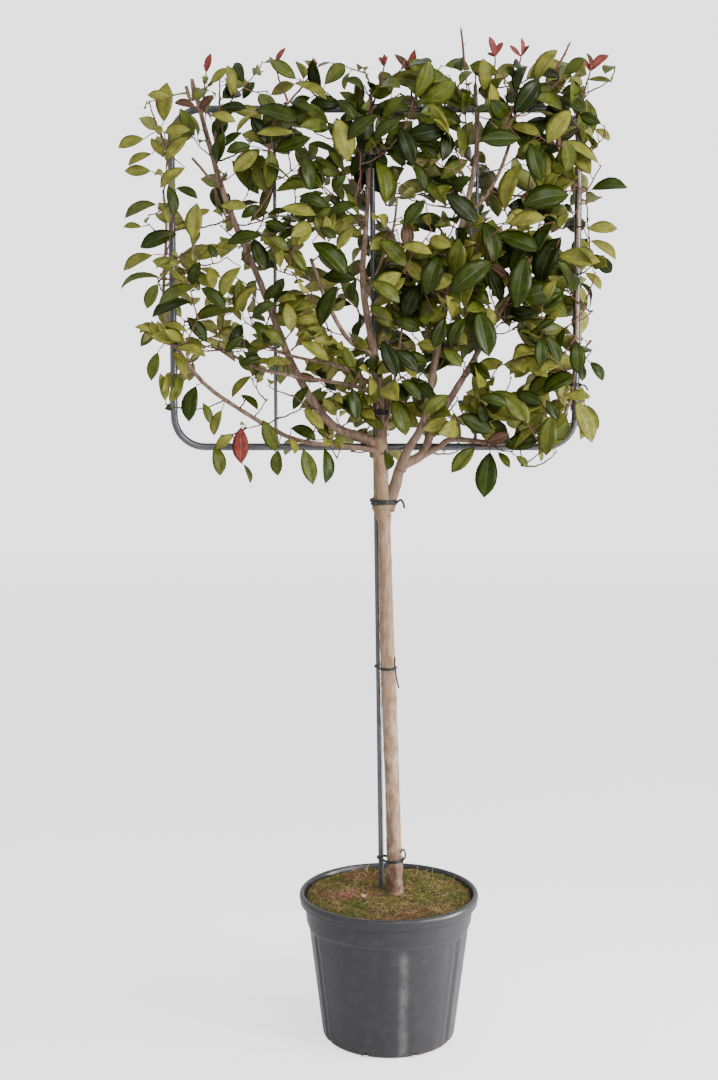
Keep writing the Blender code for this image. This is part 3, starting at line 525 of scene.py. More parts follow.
rough = between(tree, patchy, 0.0, 1.0, 0.29, 0.37)
tree.links.new(rough, sockets["Roughness"])
skin = mottled(tree, place, 380.0, 0.2, 0.8)
tree.links.new(bump(tree, skin, 0.0001, 0.20), sockets["Normal"])

pot_heap = turned_heap(POT_OUTSIDE, POT_SIDES, pot_point)
make_piece("nursery_pot", pot_heap, [pot_finish], ["pot"], 50.0)

# %% [markdown]
# The substrate and its moss.
# The root ball fills the pot to just under the rim. Moss covers it in cushions of green and olive,
# with dry brown threads between them. A bump map alone would look flat at the rim, so the ground
# is a mesh with real cushions, and some thousands of short pointed threads stand on it.

# %% Substrate: ground
GROUND_RADIUS = 0.1878
GROUND_TOP = 0.3212
GROUND_RINGS = 46
GROUND_SIDES = 120
GROUND_FLOOR = 0.012
# Radius and height of the root ball's floor and side, up to the cushions
GROUND_WALL = ((0.0, GROUND_FLOOR), (0.1430, GROUND_FLOOR), (0.1748, 0.258), (0.1838, 0.300))
EDGE_FALL = 0.004
EDGE_FALL_FROM = 0.93
CUSHION_HEIGHT = 0.0042
TUFT_HEIGHT = 0.0012


def ground_height(x, y):
    """Height of the moss cushions above the flat top, falling a little towards the wall."""
    far = math.hypot(x, y) / GROUND_RADIUS
    cushions = noise.noise(Vector((x * 34.0, y * 34.0, 1.7)))
    tufts = noise.fractal(Vector((x * 150.0, y * 150.0, 4.2)), 0.8, 2.0, 3)
    return (GROUND_TOP + CUSHION_HEIGHT * cushions + TUFT_HEIGHT * tufts
            + 0.0030 * (1.0 - far * far)
            - EDGE_FALL * max(0.0, far - EDGE_FALL_FROM) / (1.0 - EDGE_FALL_FROM))


# Where the moss is of one kind: kind, middle x and y, and radius
MOSS_PATCHES = (("moss_green", -0.085, -0.110, 0.050), ("moss_green", 0.125, -0.010, 0.050),
                ("moss_green", 0.060, 0.100, 0.040), ("moss_brown", 0.050, -0.145, 0.055),
                ("moss_brown", -0.060, 0.120, 0.045), ("moss_straw", 0.110, -0.110, 0.035),
                ("moss_brown", -0.150, -0.010, 0.030))


def moss_patch(x, y):
    """The kind of moss that a patch calls for at a place, or nothing."""
    for kind, middle_x, middle_y, radius in MOSS_PATCHES:
        edge = radius * (1.0 + 0.5 * noise.noise(Vector((x * 60.0, y * 60.0, radius))))
        if math.hypot(x - middle_x, y - middle_y) < edge:
            return kind
    return None


def ground_point(radius, height, _, bearing):
    """A point of the root ball. It lies on the cushions where no height is given."""
    angle = math.radians(bearing)
    x, y = radius * math.cos(angle), radius * math.sin(angle)
    return x, y, ground_height(x, y) if height is None else height


outline = [(radius, height, 0.0) for radius, height in GROUND_WALL]
outline += [(GROUND_RADIUS * ring / GROUND_RINGS, None, 0.0) for ring in range(GROUND_RINGS, -1, -1)]
ground = turned_heap(outline, GROUND_SIDES, ground_point)

# %% Substrate: finish
moss_finish, tree, sockets = new_finish("moss_ground", (0.10, 0.10, 0.025), 0.95)
place = place_of(tree)
green = mottled(tree, place, 26.0, 0.40, 0.60)
brown = mottled(tree, place, 17.0, 0.52, 0.66)
crumbs = mottled(tree, place, 420.0, 0.35, 0.70)
colour = blend_colour(tree, green, (0.070, 0.044, 0.014), (0.034, 0.042, 0.006))
colour = blend_colour(tree, brown, colour, (0.060, 0.024, 0.012))
colour = blend_colour(tree, multiply(tree, crumbs, 0.55), colour, (0.030, 0.024, 0.010))
tree.links.new(colour, sockets["Base Color"])
tree.links.new(bump(tree, crumbs, 0.0012, 0.8), sockets["Normal"])
make_piece("moss_ground", ground, [moss_finish], ["root_ball"])


# %% Substrate: threads of moss
THREAD_COUNT = 14000
THREAD_MIDDLE = 0.55
THREAD_COLOURS = {
    "moss_green": (0.170, 0.215, 0.018),
    "moss_olive": (0.290, 0.225, 0.036),
    "moss_straw": (0.480, 0.320, 0.120),
    "moss_brown": (0.290, 0.115, 0.050),
}
THREAD_KINDS = list(THREAD_COLOURS)
thread_finishes = []
for name, tint in THREAD_COLOURS.items():
    dark = tuple(0.55 * part for part in tint)
    thread_finishes.append(patchy_finish(name, tint, 0.85, 90.0, dark, tint))


def thread(root, way, length, radius, bend):
    """A pointed three-sided thread in two parts, its foot below the ground."""
    way = unit(way)
    across = unit(np.cross(way, (0.3, 0.2, 0.93)))
    beside = np.cross(way, across)
    points = ring_round(root, across, beside, radius, 3)
    middle = root + way * length * THREAD_MIDDLE + bend * THREAD_MIDDLE ** 2
    points += ring_round(middle, across, beside, 0.8 * radius, 3)
    points.append(root + way * length + bend)
    faces = [(2, 1, 0)]
    for side in range(3):
        after = (side + 1) % 3
        faces.append((side, after, 3 + after, 3 + side))
        faces.append((3 + side, 3 + after, 6))
    return points, faces


def anywhere(margin):
    """A place on the ground, away from its edge by a margin. All places are equally likely."""
    radius = (GROUND_RADIUS - margin) * math.sqrt(rng.random())
    angle = rng.uniform(0.0, math.tau)
    return radius * math.cos(angle), radius * math.sin(angle)


rng = random.Random(41)
threads = Heap()
for _ in range(THREAD_COUNT):
    x, y = anywhere(0.003)
    drift = noise.noise(Vector((x * 22.0, y * 22.0, 9.0)))
    brownish = noise.noise(Vector((x * 15.0, y * 15.0, 20.0)))
    patch = moss_patch(x, y)
    if patch and rng.random() < 0.72:
        kind = THREAD_KINDS.index(patch)
    elif brownish > 0.22 and rng.random() < 0.7:
        kind = rng.choice((2, 3, 3))
    elif drift > 0.0:
        kind = rng.choice((0, 0, 0, 1))
    else:
        kind = rng.choice((0, 1, 1, 2))
    lean = np.array((rng.uniform(-0.9, 0.9), rng.uniform(-0.9, 0.9), 1.0))
    root = np.array((x, y, ground_height(x, y) - 0.001))
    bend = np.array((rng.uniform(-0.002, 0.002), rng.uniform(-0.002, 0.002), -0.001))
    length = rng.uniform(0.004, 0.0085)
    threads.add(*thread(root, lean, length, rng.uniform(0.00035, 0.0006), bend), kind)
make_piece("moss_threads", threads, thread_finishes)
print("moss threads:", THREAD_COUNT)

# %% [markdown]
# Litter on the moss.
# Root fibres are thin curling tubes. Many lie in one pinkish patch to the left of the trunk, some
# show through the drain notches, and straw lies all over. The pebble and the yellow flecks are
# small lumps. They are few, so each is modelled, and none is painted.

# %% Litter
FIBRE_PATCH = (-0.099, -0.026)
FIBRE_SPREAD = (0.034, 0.020)
# Bends of a root at the pot's foot: distance out, sideways sway, height, and share of its rise
FOOT_ROOT_BENDS = ((0.1430, 0.002, 0.0060, 0.0), (0.1490, 0.005, 0.0060, 1.0),
                   (0.1515, 0.012, 0.0035, 1.0), (0.1512, 0.018, 0.0016, 0.0))
PEBBLE_PLACE = (-0.058, -0.034)
PEBBLE_PINK = (0.62, 0.50, 0.42)
FLECK_YELLOW = (0.62, 0.50, 0.10)
FLECK_PATCH = (0.088, -0.005)
FLECK_SPREAD = 0.030
FIBRE_COLOURS = {
    "root_fibre": ((0.17, 0.062, 0.038), (0.42, 0.21, 0.14)),
    "straw_fibre": ((0.26, 0.165, 0.06), (0.54, 0.38, 0.17)),
    "foot_root": ((0.075, 0.038, 0.022), (0.19, 0.10, 0.055)),
}
fibre_finishes = [patchy_finish(name, pale, 0.8, 160.0, dark, pale)
                  for name, (dark, pale) in FIBRE_COLOURS.items()]
ON_A_FOOT_ROOT = list(FIBRE_COLOURS).index("foot_root")


def curl(start, way, length, parts, swing):
    """A loose curling line that stays near the ground."""
    place = np.array(start, float)
    way = unit(way)
    path = [place.copy()]
    for _ in range(parts):
        turn = np.array((rng.uniform(-swing, swing), rng.uniform(-swing, swing),
                         rng.uniform(-0.4, 0.3)))
        way = unit(way + turn)
        place = place + way * length / parts
        floor = ground_height(place[0], place[1]) + 0.0004
        place[2] = max(place[2], floor)
        path.append(place.copy())
    return path


fibres = Heap()
for _ in range(150):
    spread = abs(rng.gauss(0.0, 0.5))
    angle = rng.uniform(0.0, math.tau)
    x = FIBRE_PATCH[0] + FIBRE_SPREAD[0] * spread * math.cos(angle)
    y = FIBRE_PATCH[1] + FIBRE_SPREAD[1] * spread * math.sin(angle)
    if math.hypot(x, y) > GROUND_RADIUS - 0.02:
        continue
    heading = (rng.uniform(-1.0, 1.0), rng.uniform(-1.0, 1.0), rng.uniform(0.0, 0.5))
    path = curl((x, y, ground_height(x, y) + 0.0008), heading, rng.uniform(0.012, 0.030), 6, 0.7)
    radius = rng.uniform(0.0004, 0.0009)
    fibres.add(*tube(path, [radius] * len(path), 4))
for index in range(420):
    x, y = anywhere(0.016)
    heading = (rng.uniform(-1.0, 1.0), rng.uniform(-1.0, 1.0), 0.35)
    path = curl((x, y, ground_height(x, y) + 0.0020), heading, rng.uniform(0.010, 0.030), 7, 0.8)
    path = [place for place in path if math.hypot(place[0], place[1]) < GROUND_RADIUS - 0.004]
    if len(path) > 3:
        fibres.add(*tube(path, [rng.uniform(0.0003, 0.0005)] * len(path), 4), index % 2)


def foot_root(bearing):
    """A short root that shows through a drain notch and lies against the pot's foot."""
    angle = math.radians(POT_FRONT_DEG + bearing)
    out = np.array((math.cos(angle), math.sin(angle), 0.0))
    side = np.array((-out[1], out[0], 0.0))
    for _ in range(5):
        sway = rng.uniform(-0.5, 0.5)
        rise = rng.uniform(0.0005, 0.004)
        path = [out * far + side * wide * sway + (0.0, 0.0, height + share * rise)
                for far, wide, height, share in FOOT_ROOT_BENDS]
        line = curve_through(path, 0.004)
        fibres.add(*tube(line, [0.0006] * len(line), 4), ON_A_FOOT_ROOT)


for bearing in NOTCHES_DEG[1:3]:
    foot_root(bearing)
make_piece("root_fibres", fibres, fibre_finishes)


LUMP_ROWS = 6
LUMP_SIDES = 10


def lump(centre, size, roughness, seed):
    """A small rounded lump with an uneven surface."""
    centre, size = np.array(centre), np.array(size)
    rings = []
    for row in range(1, LUMP_ROWS):
        lift = math.pi * row / LUMP_ROWS
        ways = ring_round((0.0, 0.0, -math.cos(lift)), np.array((1.0, 0.0, 0.0)),
                          np.array((0.0, 1.0, 0.0)), math.sin(lift), LUMP_SIDES)
        rings.append([centre + way * size * (1.0 + roughness * noise.noise(Vector(way * 2.3 + seed)))
                      for way in ways])
    pole = (0.0, 0.0, size[2])
    return pointed_rings(centre - pole, rings, centre + pole)


pebble_finish = patchy_finish("pebble", PEBBLE_PINK, 0.6, 500.0, PEBBLE_PINK, (0.42, 0.30, 0.24), 0.4)
fleck_finish = patchy_finish("yellow_fleck", FLECK_YELLOW, 0.7, 300.0, FLECK_YELLOW,
                             (0.40, 0.33, 0.10), 0.4)
litter = Heap()
x, y = PEBBLE_PLACE
litter.add(*lump((x, y, ground_height(x, y) + 0.003), (0.0052, 0.0042, 0.0040), 0.35, 3.0), 0)
for index in range(34):
    x = rng.gauss(FLECK_PATCH[0], FLECK_SPREAD)
    y = rng.gauss(FLECK_PATCH[1], FLECK_SPREAD)
    if index % 4 == 0:
        x, y = rng.uniform(-0.13, -0.04), rng.uniform(-0.05, 0.04)
    if math.hypot(x, y) > GROUND_RADIUS - 0.012:
        continue
    size = rng.uniform(0.0009, 0.0019)
    litter.add(*lump((x, y, ground_height(x, y) + 0.003), (size, size * 0.8, size * 0.5), 0.4,
                     float(index)), 1)
make_piece("pebble_and_flecks", litter, [pebble_finish, fleck_finish])

# %% [markdown]
# Trunk and boughs: where they run.
# The trunk is given by level rings from the root flare, past the graft knob, to the fork. Each
# bough is a few places that it bends through, with its radius at both ends, and starts on the
# axis of the limb that carries it. These are the same places that the solids have.

# %% Limbs: places
TRUNK_RINGS = (
    (0.3080, 0.0142, 0.0235), (0.3163, 0.0140, 0.0212), (0.3320, 0.0137, 0.0190),
    (0.3800, 0.0128, 0.0176), (0.5850, 0.0070, 0.0168), (0.9150, -0.0050, 0.0155),
    (1.1500, -0.0115, 0.0142), (1.1800, -0.0140, 0.0170), (1.2050, -0.0155, 0.0218),
    (1.2260, -0.0165, 0.0190), (1.2500, -0.0175, 0.0160), (1.3000, -0.0195, 0.0162),
    (1.3400, -0.0205, 0.0165), (1.3540, -0.0208, 0.0130),
)
BOUGHS = {
    "bough_leader": (0.0105, 0.0030, (
        (-0.0205, 0.000, 1.3350), (-0.0160, 0.001, 1.430), (-0.0330, 0.002, 1.535),
        (-0.0590, 0.002, 1.690), (-0.0500, 0.002, 1.850), (-0.0400, 0.002, 2.112))),
    "bough_left_main": (0.0098, 0.0045, (
        (-0.0180, 0.000, 1.331), (-0.0560, -0.001, 1.353), (-0.1330, 0.000, 1.388),
        (-0.2100, 0.002, 1.506), (-0.2810, 0.004, 1.686), (-0.3600, 0.005, 1.880),
        (-0.4270, 0.006, 2.120))),
    "bough_left_low": (0.0057, 0.0042, (
        (-0.0200, -0.003, 1.320), (-0.0600, -0.015, 1.331), (-0.1950, -0.008, 1.347),
        (-0.2850, -0.002, 1.389), (-0.4050, 0.006, 1.470), (-0.4740, 0.009, 1.560))),
    "bough_left_edge": (0.0042, 0.0026, (
        (-0.4740, 0.009, 1.560), (-0.4950, 0.008, 1.640), (-0.4870, 0.008, 1.810),
        (-0.4930, 0.008, 1.890))),
    "bough_left_inner_low": (0.0048, 0.0028, (
        (-0.0190, 0.000, 1.434), (-0.0720, -0.016, 1.465), (-0.2170, -0.026, 1.490),
        (-0.2900, -0.022, 1.506), (-0.3750, -0.016, 1.552))),
    "bough_left_inner_high": (0.0042, 0.0026, (
        (-0.0230, 0.000, 1.462), (-0.1090, -0.014, 1.508), (-0.2060, -0.024, 1.530),
        (-0.2650, -0.022, 1.552), (-0.3000, -0.018, 1.602))),
    "bough_left_stub": (0.0055, 0.0042, (
        (-0.0330, 0.002, 1.532), (-0.0920, -0.008, 1.570), (-0.1400, -0.008, 1.655),
        (-0.1720, -0.004, 1.742))),
    "bough_centre_low": (0.0036, 0.0026, (
        (-0.0190, 0.000, 1.366), (-0.0010, -0.012, 1.405), (0.0060, -0.014, 1.450),
        (0.0300, -0.012, 1.620))),
    "bough_centre_high": (0.0036, 0.0024, (
        (-0.0560, 0.002, 1.648), (-0.0280, -0.012, 1.712), (0.0050, -0.010, 1.800),
        (0.0160, -0.006, 1.875))),
    "bough_right_main": (0.0124, 0.0036, (
        (-0.0060, 0.000, 1.196), (0.0130, 0.000, 1.250), (0.0270, 0.000, 1.290),
        (0.0740, 0.002, 1.320), (0.0980, 0.004, 1.380), (0.1690, 0.006, 1.498),
        (0.2680, 0.008, 1.675))),
    "bough_right_inner": (0.0092, 0.0042, (
        (0.0230, 0.000, 1.282), (0.0400, -0.006, 1.328), (0.0730, -0.018, 1.388),
        (0.0980, -0.018, 1.520), (0.1300, -0.010, 1.710), (0.1840, -0.003, 1.950),
        (0.1830, 0.000, 2.112))),
    "bough_right_low": (0.0068, 0.0038, (
        (0.0660, 0.002, 1.312), (0.1080, -0.004, 1.333), (0.1400, -0.006, 1.350),
        (0.2560, -0.002, 1.342), (0.3560, 0.004, 1.362), (0.3980, 0.009, 1.432))),
    "bough_right_edge": (0.0038, 0.0026, (
        (0.3980, 0.009, 1.432), (0.4090, 0.009, 1.540), (0.4070, 0.008, 1.725),
        (0.4090, 0.008, 1.870), (0.4030, 0.008, 2.108))),
    "bough_right_outer": (0.0040, 0.0030, (
        (0.1580, -0.006, 1.828), (0.2050, -0.009, 1.872), (0.2440, -0.005, 1.947),
        (0.2690, 0.000, 2.040), (0.2660, 0.002, 2.100))),
}
LIMB_STEP = 0.006


def bough_line(name):
    """A bough's path, and radii that fall evenly from its start to its tip."""
    first, last, places = BOUGHS[name]
    path = curve_through(places, LIMB_STEP)
    run = lengths_along(path)
    return path, first + (last - first) * run / run[-1]


def trunk_line():
    rings = curve_through([(x, radius, height) for height, x, radius in TRUNK_RINGS], LIMB_STEP)
    return np.array([(x, 0.0, height) for x, _, height in rings]), rings[:, 1]


print("limbs:", 1 + len(BOUGHS))

# %% [markdown]
# Bark relief.
# Young photinia bark is smooth but never even: fine cracks run up it, small pale pores lie
# across it, and each old bud leaves a low swelling. A bump map would be lost at the outline and
# in the exported mesh, so the cracks and swellings are pushed into the mesh itself, and only
# the finest grain is left to the material.

# %% Bark: relief rules
BUD_SPACING = 0.043


def bark_relief(radius, seed, swellings):
    """The rule that lifts a limb's surface: cracks, pores, and swellings at old buds."""
    depth = min(0.0011, 0.075 * radius)

    def relief(along, turn, spot):
        x, y, z = spot
        cracks = noise.fractal(Vector((x * 150.0, y * 150.0, z * 26.0 + seed)), 0.9, 2.0, 4)
        pores = max(0.0, noise.noise(Vector((x * 90.0, y * 90.0, z * 330.0 - seed))) - 0.32)
        height = depth * (0.75 * cracks + 0.9 * pores)
        height += 0.035 * radius * math.sin(2.0 * turn + 9.0 * along + seed)
        for place, bearing, size, width in swellings:
            far = ((along - place) / width) ** 2
            if far < 6.0:
                side = 0.5 + 0.5 * math.cos(turn - bearing)
                height += size * math.exp(-far) * side * side
        return height

    return relief


def bud_swellings(length, radius, seed):
    """Old buds, one after another round the limb."""
    rng = random.Random(seed)
    places = []
    along = rng.uniform(0.3, 0.8) * BUD_SPACING
    bearing = rng.uniform(0.0, math.tau)
    while along < length:
        size = rng.uniform(0.10, 0.24) * radius
        places.append((along, bearing, size, rng.uniform(0.7, 1.3) * 0.0065))
        along += BUD_SPACING * rng.uniform(0.6, 1.4)
        bearing += 2.4
    return places


# %% [markdown]
# The bark's colour.
# It is a warm grey-brown on the trunk, redder where the foot stays damp, browner up the stem, with
# an olive film below the fork, and pinkish brown on the boughs, darkened near the fork by painted
# shade from the crown. The same streaks that colour it also roughen it.

# %% Bark: finishes
# Tints at some heights: lower and upper height, share at each, colour, and scale and range of the
# patches that the tint comes in
TRUNK_TINTS = {
    "damp foot": (0.36, 0.50, 0.95, 0.0, (0.085, 0.034, 0.019), (45.0, 0.3, 0.65)),
    "browner above": (0.50, 1.05, 0.0, 0.45, (0.265, 0.160, 0.085), None),
    "olive film": (0.98, 1.22, 0.0, 0.75, (0.17, 0.125, 0.060), (9.0, 0.40, 0.65)),
}
# On the boughs the tint is painted shade: the bark at the fork, under the crown, is darkened.
BOUGH_TINTS = {"painted shade at the fork": (1.26, 1.44, 0.78, 0.0, (0.150, 0.092, 0.058), None)}


def bark_finish(name, pale, dark, pore, tints=None):
    """Bark in long streaks, with soft patches, pores across it, and its tints at some heights."""
    finish, tree, sockets = new_finish(name, pale, 0.72)
    place = place_of(tree)
    long = place_group(tree, streaks, Place=place, Stretch=(115.0, 115.0, 34.0), From=0.36, To=0.70)
    across = place_group(tree, streaks, Place=place, Stretch=(85.0, 85.0, 420.0), From=0.60, To=0.72)
    colour = blend_colour(tree, long["Mask"], dark, pale)
    shaded = blend_colour(tree, 0.35, colour, dark)
    colour = blend_colour(tree, mottled(tree, place, 14.0, 0.35, 0.65), shaded, colour)
    colour = blend_colour(tree, multiply(tree, across["Mask"], 0.6), colour, pore)
    height = add_node(tree, "ShaderNodeSeparateXYZ", _0=place).outputs["Z"]
    for low, high, at_low, at_high, tint, patches in (tints or {}).values():
        share = between(tree, height, low, high, at_low, at_high)
        if patches:
            share = multiply(tree, share, mottled(tree, place, *patches))
        colour = blend_colour(tree, share, colour, tint)
    tree.links.new(colour, sockets["Base Color"])
    tree.links.new(between(tree, long["Mask"], 0.0, 1.0, 0.82, 0.62), sockets["Roughness"])
    tree.links.new(bump(tree, long["Height"], 0.0008, 0.55), sockets["Normal"])
    return finish


trunk_bark = bark_finish("trunk_bark", (0.47, 0.325, 0.22), (0.190, 0.115, 0.070),
                         (0.58, 0.44, 0.33), TRUNK_TINTS)
bough_bark = bark_finish("bough_bark", (0.365, 0.246, 0.170), (0.145, 0.087, 0.060),
                         (0.42, 0.30, 0.22), BOUGH_TINTS)

# %% Trunk: mesh
TRUNK_SIDES = 48
# Old buds and scars: how far up the trunk, bearing, how far they stand out, and width
TRUNK_SCARS = ((0.075, 2.9, 0.0016, 0.010), (0.21, 4.4, 0.0011, 0.008), (0.345, 5.6, 0.0015, 0.009),
               (0.46, 3.4, 0.0010, 0.008), (0.585, 0.4, 0.0013, 0.010), (0.66, 4.9, 0.0010, 0.007),
               (0.775, 2.2, 0.0014, 0.009), (0.868, 3.6, 0.0028, 0.010), (0.893, 0.9, 0.0042, 0.010),
               (0.900, 2.7, 0.0036, 0.008), (0.912, 5.2, 0.0030, 0.009), (0.965, 3.9, 0.0012, 0.008))
path, radii = trunk_line()
trunk_heap = Heap()
trunk_heap.add(*tube(path, radii, TRUNK_SIDES, bark_relief(0.016, 3.1, TRUNK_SCARS)))
make_piece("trunk_stem", trunk_heap, [trunk_bark], ["trunk"])

# %% Boughs: mesh
BOUGH_SIDES = 16
COLLAR_SWELL = 0.45
# These go on from another bough's tip, so no collar swells where they start
WITHOUT_COLLAR = ("bough_left_edge", "bough_right_edge")
bough_heap = Heap()
for order, name in enumerate(BOUGHS):
    path, radii = bough_line(name)
    run = lengths_along(path)
    if name not in WITHOUT_COLLAR:
        radii = radii * (1.0 + COLLAR_SWELL * np.exp(-run / (3.2 * radii[0])))
    swellings = bud_swellings(run[-1], radii[-1] * 1.3, 100 + order)
    rule = bark_relief(float(radii.mean()), 7.7 * order, swellings)
    bough_heap.add(*tube(path, radii, BOUGH_SIDES, rule))
# Cut ends where older wood was pruned: foot and top in the photograph's pixels, and radius
CUT_ENDS = {
    "first stump": ((190, 99), (186, 86), 0.0042),
    "second stump": ((194, 99), (192, 79), 0.0044),
    "pruned shoot": ((210, 178), (192, 158), 0.0030),
}
CUT_FLATNESS = 0.06
main_line = bough_line("bough_left_main")[0]
for order, (foot_px, top_px, radius) in enumerate(CUT_ENDS.values()):
    foot = from_photo(*foot_px, -0.004 + 0.006 * order)
    top = from_photo(*top_px, -0.008 + 0.008 * order)
    carrier = main_line[int(np.linalg.norm(main_line - foot, axis=1).argmin())]
    path = curve_through([carrier, foot, (foot + top) / 2, top], LIMB_STEP)
    rule = bark_relief(radius, 50.0 + order, bud_swellings(0.05, radius, 200 + order))
    bough_heap.add(*tube(path, [radius] * len(path), BOUGH_SIDES, rule, round_end=CUT_FLATNESS))
make_piece("bough_fan", bough_heap, [bough_bark], list(BOUGHS))

# %% [markdown]
# The training frame.
# A rounded rectangle of 16 mm steel tube stands behind the boughs, with two thin rods inside it
# and a slimmer upright that runs down beside the trunk into the pot. In the solids it is in
# pieces; here it is what it really is, one closed bent tube, with rods and upright welded on.

# %% Frame: sizes, read from the solids
def middle_of(name, axis):
    """Where the middle of a node's box lies along an axis."""
    low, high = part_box(name)
    return (low[axis] + high[axis]) / 2


FRAME_LEFT = middle_of("frame_left", 0)
FRAME_RIGHT = middle_of("frame_right", 0)
FRAME_Y = middle_of("frame_left", 1)
FRAME_BOTTOM = middle_of("frame_bottom", 2)
FRAME_TOP = middle_of("frame_top", 2)
TUBE_RADIUS = FRAME_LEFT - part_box("frame_left")[0][0]
BEND_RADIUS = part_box("frame_bottom")[0][0] - FRAME_LEFT
ROD_RADIUS = 0.004
UPRIGHT_RADIUS = 0.0061
UPRIGHT_FOOT = (-0.0160, 0.3100)
UPRIGHT_TOP_X = -0.0410
print("frame tube radius", round(TUBE_RADIUS, 4), "bend", round(BEND_RADIUS, 3))

# %% Frame: finish
STEEL = (0.128, 0.131, 0.145)
steel_finish, tree, sockets = new_finish("frame_steel", STEEL, 0.36, Metallic=0.72)
place = place_of(tree)
drawn = place_group(tree, streaks, Place=place, Stretch=(260.0, 260.0, 260.0), From=0.45, To=0.75)
worn = mottled(tree, place, 32.0, 0.50, 0.70)
dusty = dusted(tree, place, STEEL, (0.24, 0.225, 0.20), 0.30, 70.0)
colour = blend_colour(tree, multiply(tree, worn, 0.5), dusty, (0.055, 0.055, 0.062))
tree.links.new(colour, sockets["Base Color"])
tree.links.new(between(tree, drawn["Mask"], 0.0, 1.0, 0.30, 0.46), sockets["Roughness"])
tree.links.new(bump(tree, drawn["Height"], 0.0002, 0.4), sockets["Normal"])

# %% Frame: mesh
BEND_PARTS = 14
STRAIGHT_PARTS = 12


def rounded_loop():
    """The frame's centre line, corner by corner."""
    inner = (FRAME_LEFT + BEND_RADIUS, FRAME_RIGHT - BEND_RADIUS,
             FRAME_BOTTOM + BEND_RADIUS, FRAME_TOP - BEND_RADIUS)
    corners = ((inner[1], inner[2], -90.0), (inner[1], inner[3], 0.0),
               (inner[0], inner[3], 90.0), (inner[0], inner[2], 180.0))
    loop = []
    for x, z, first in corners:
        for part in range(BEND_PARTS + 1):
            angle = math.radians(first + 90.0 * part / BEND_PARTS)
            loop.append(np.array((x + BEND_RADIUS * math.cos(angle), FRAME_Y,
                                  z + BEND_RADIUS * math.sin(angle))))
    path = []
    for index, here in enumerate(loop):
        after = loop[(index + 1) % len(loop)]
        far = float(np.linalg.norm(after - here))
        parts = STRAIGHT_PARTS if far > BEND_RADIUS else 1
        path += [here + (after - here) * part / parts for part in range(parts)]
    return path


def rod_line(x_low, z_low, x_high, z_high, parts=24):
    shares = np.linspace(0.0, 1.0, parts + 1)
    return [np.array((x_low + (x_high - x_low) * share, FRAME_Y,
                      z_low + (z_high - z_low) * share)) for share in shares]


def weld(x, z, radius):
    """A low bead where a rod meets the tube."""
    return lump((x, FRAME_Y, z), (radius * 1.55, radius * 1.5, radius * 0.8), 0.25, x * 50.0)


steel = Heap()
loop = rounded_loop()
steel.add(*tube(loop, [TUBE_RADIUS] * len(loop), 24, closed=True))
rods = []
for x in (middle_of("rod_left", 0), middle_of("rod_right", 0)):
    line = rod_line(x, FRAME_BOTTOM, x, FRAME_TOP)
    rods.append(line)
    steel.add(*tube(line, [ROD_RADIUS] * len(line), 14))
    steel.add(*weld(x, FRAME_BOTTOM + TUBE_RADIUS, ROD_RADIUS))
    steel.add(*weld(x, FRAME_TOP - TUBE_RADIUS, ROD_RADIUS))
upright = rod_line(*UPRIGHT_FOOT, UPRIGHT_TOP_X, FRAME_TOP, 40)
steel.add(*tube(upright, [UPRIGHT_RADIUS] * len(upright), 18))
for height in (FRAME_BOTTOM - TUBE_RADIUS, FRAME_BOTTOM + TUBE_RADIUS, FRAME_TOP - TUBE_RADIUS):
    share = (height - UPRIGHT_FOOT[1]) / (FRAME_TOP - UPRIGHT_FOOT[1])
    x = UPRIGHT_FOOT[0] + (UPRIGHT_TOP_X - UPRIGHT_FOOT[0]) * share
    steel.add(*weld(x, height, UPRIGHT_RADIUS))
steel_nodes = [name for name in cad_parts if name.startswith(("frame_", "rod_", "upright_"))]
make_piece("training_frame", steel, [steel_finish], steel_nodes, 40.0)

# %% [markdown]
# The ties.
# Soft black tying tube holds trunk and boughs to the steel. Each tie is a few turns drawn tight
# round everything that it holds, a knot, and one or two tails. A level belt round the convex
# outline of the held limbs is what a tight turn really follows, so that outline is worked out.

# %% Ties: places
TIE_STEPS = 20
TIES = {
    "tie_low": (0.400, ("trunk", "upright"), 2, 0.0016),
    "tie_middle": (0.840, ("trunk", "upright"), 2, 0.0015),
    "tie_graft": (1.212, ("trunk", "bough_right_main", "upright"), 3, 0.0020),
    "tie_leader": (1.410, ("bough_leader", "upright"), 3, 0.0018),
    "tie_left": (1.600, ("bough_left_edge", "frame_left"), 2, 0.0016),
    "tie_right": (1.470, ("bough_right_edge", "frame_right"), 2, 0.0016),
}
TIE_SLACK = 0.0008


def held_line(name):
    if name == "trunk":
        return trunk_line()
    if name in BOUGHS:
        return bough_line(name)
    if name == "upright":
        return np.array(upright), [UPRIGHT_RADIUS] * len(upright)
    x = FRAME_LEFT if name == "frame_left" else FRAME_RIGHT
    ends = rod_line(x, FRAME_BOTTOM, x, FRAME_TOP)
    return np.array(ends), [TUBE_RADIUS] * len(ends)


def axis_at(path, radii, height):
    """Centre and radius of a rising limb at a height."""
    for a, b, first, last in zip(path, path[1:], radii, radii[1:]):
        if a[2] <= height <= b[2]:
            share = (height - a[2]) / max(b[2] - a[2], 1e-9)
            return a + (b - a) * share, first + (last - first) * share
    return path[-1], radii[-1]


def outer_loop(places):
    """The convex outline of level points, in turning order."""
    def half(ordered):
        chain = []
        for place in ordered:
            while len(chain) > 1:
                (ax, ay), (bx, by) = chain[-2:]
                if (bx - ax) * (place[1] - ay) - (by - ay) * (place[0] - ax) > 0.0:
                    break
                chain.pop()
            chain.append(place)
        return chain[:-1]

    places = sorted(places)
    return half(places) + half(places[::-1])


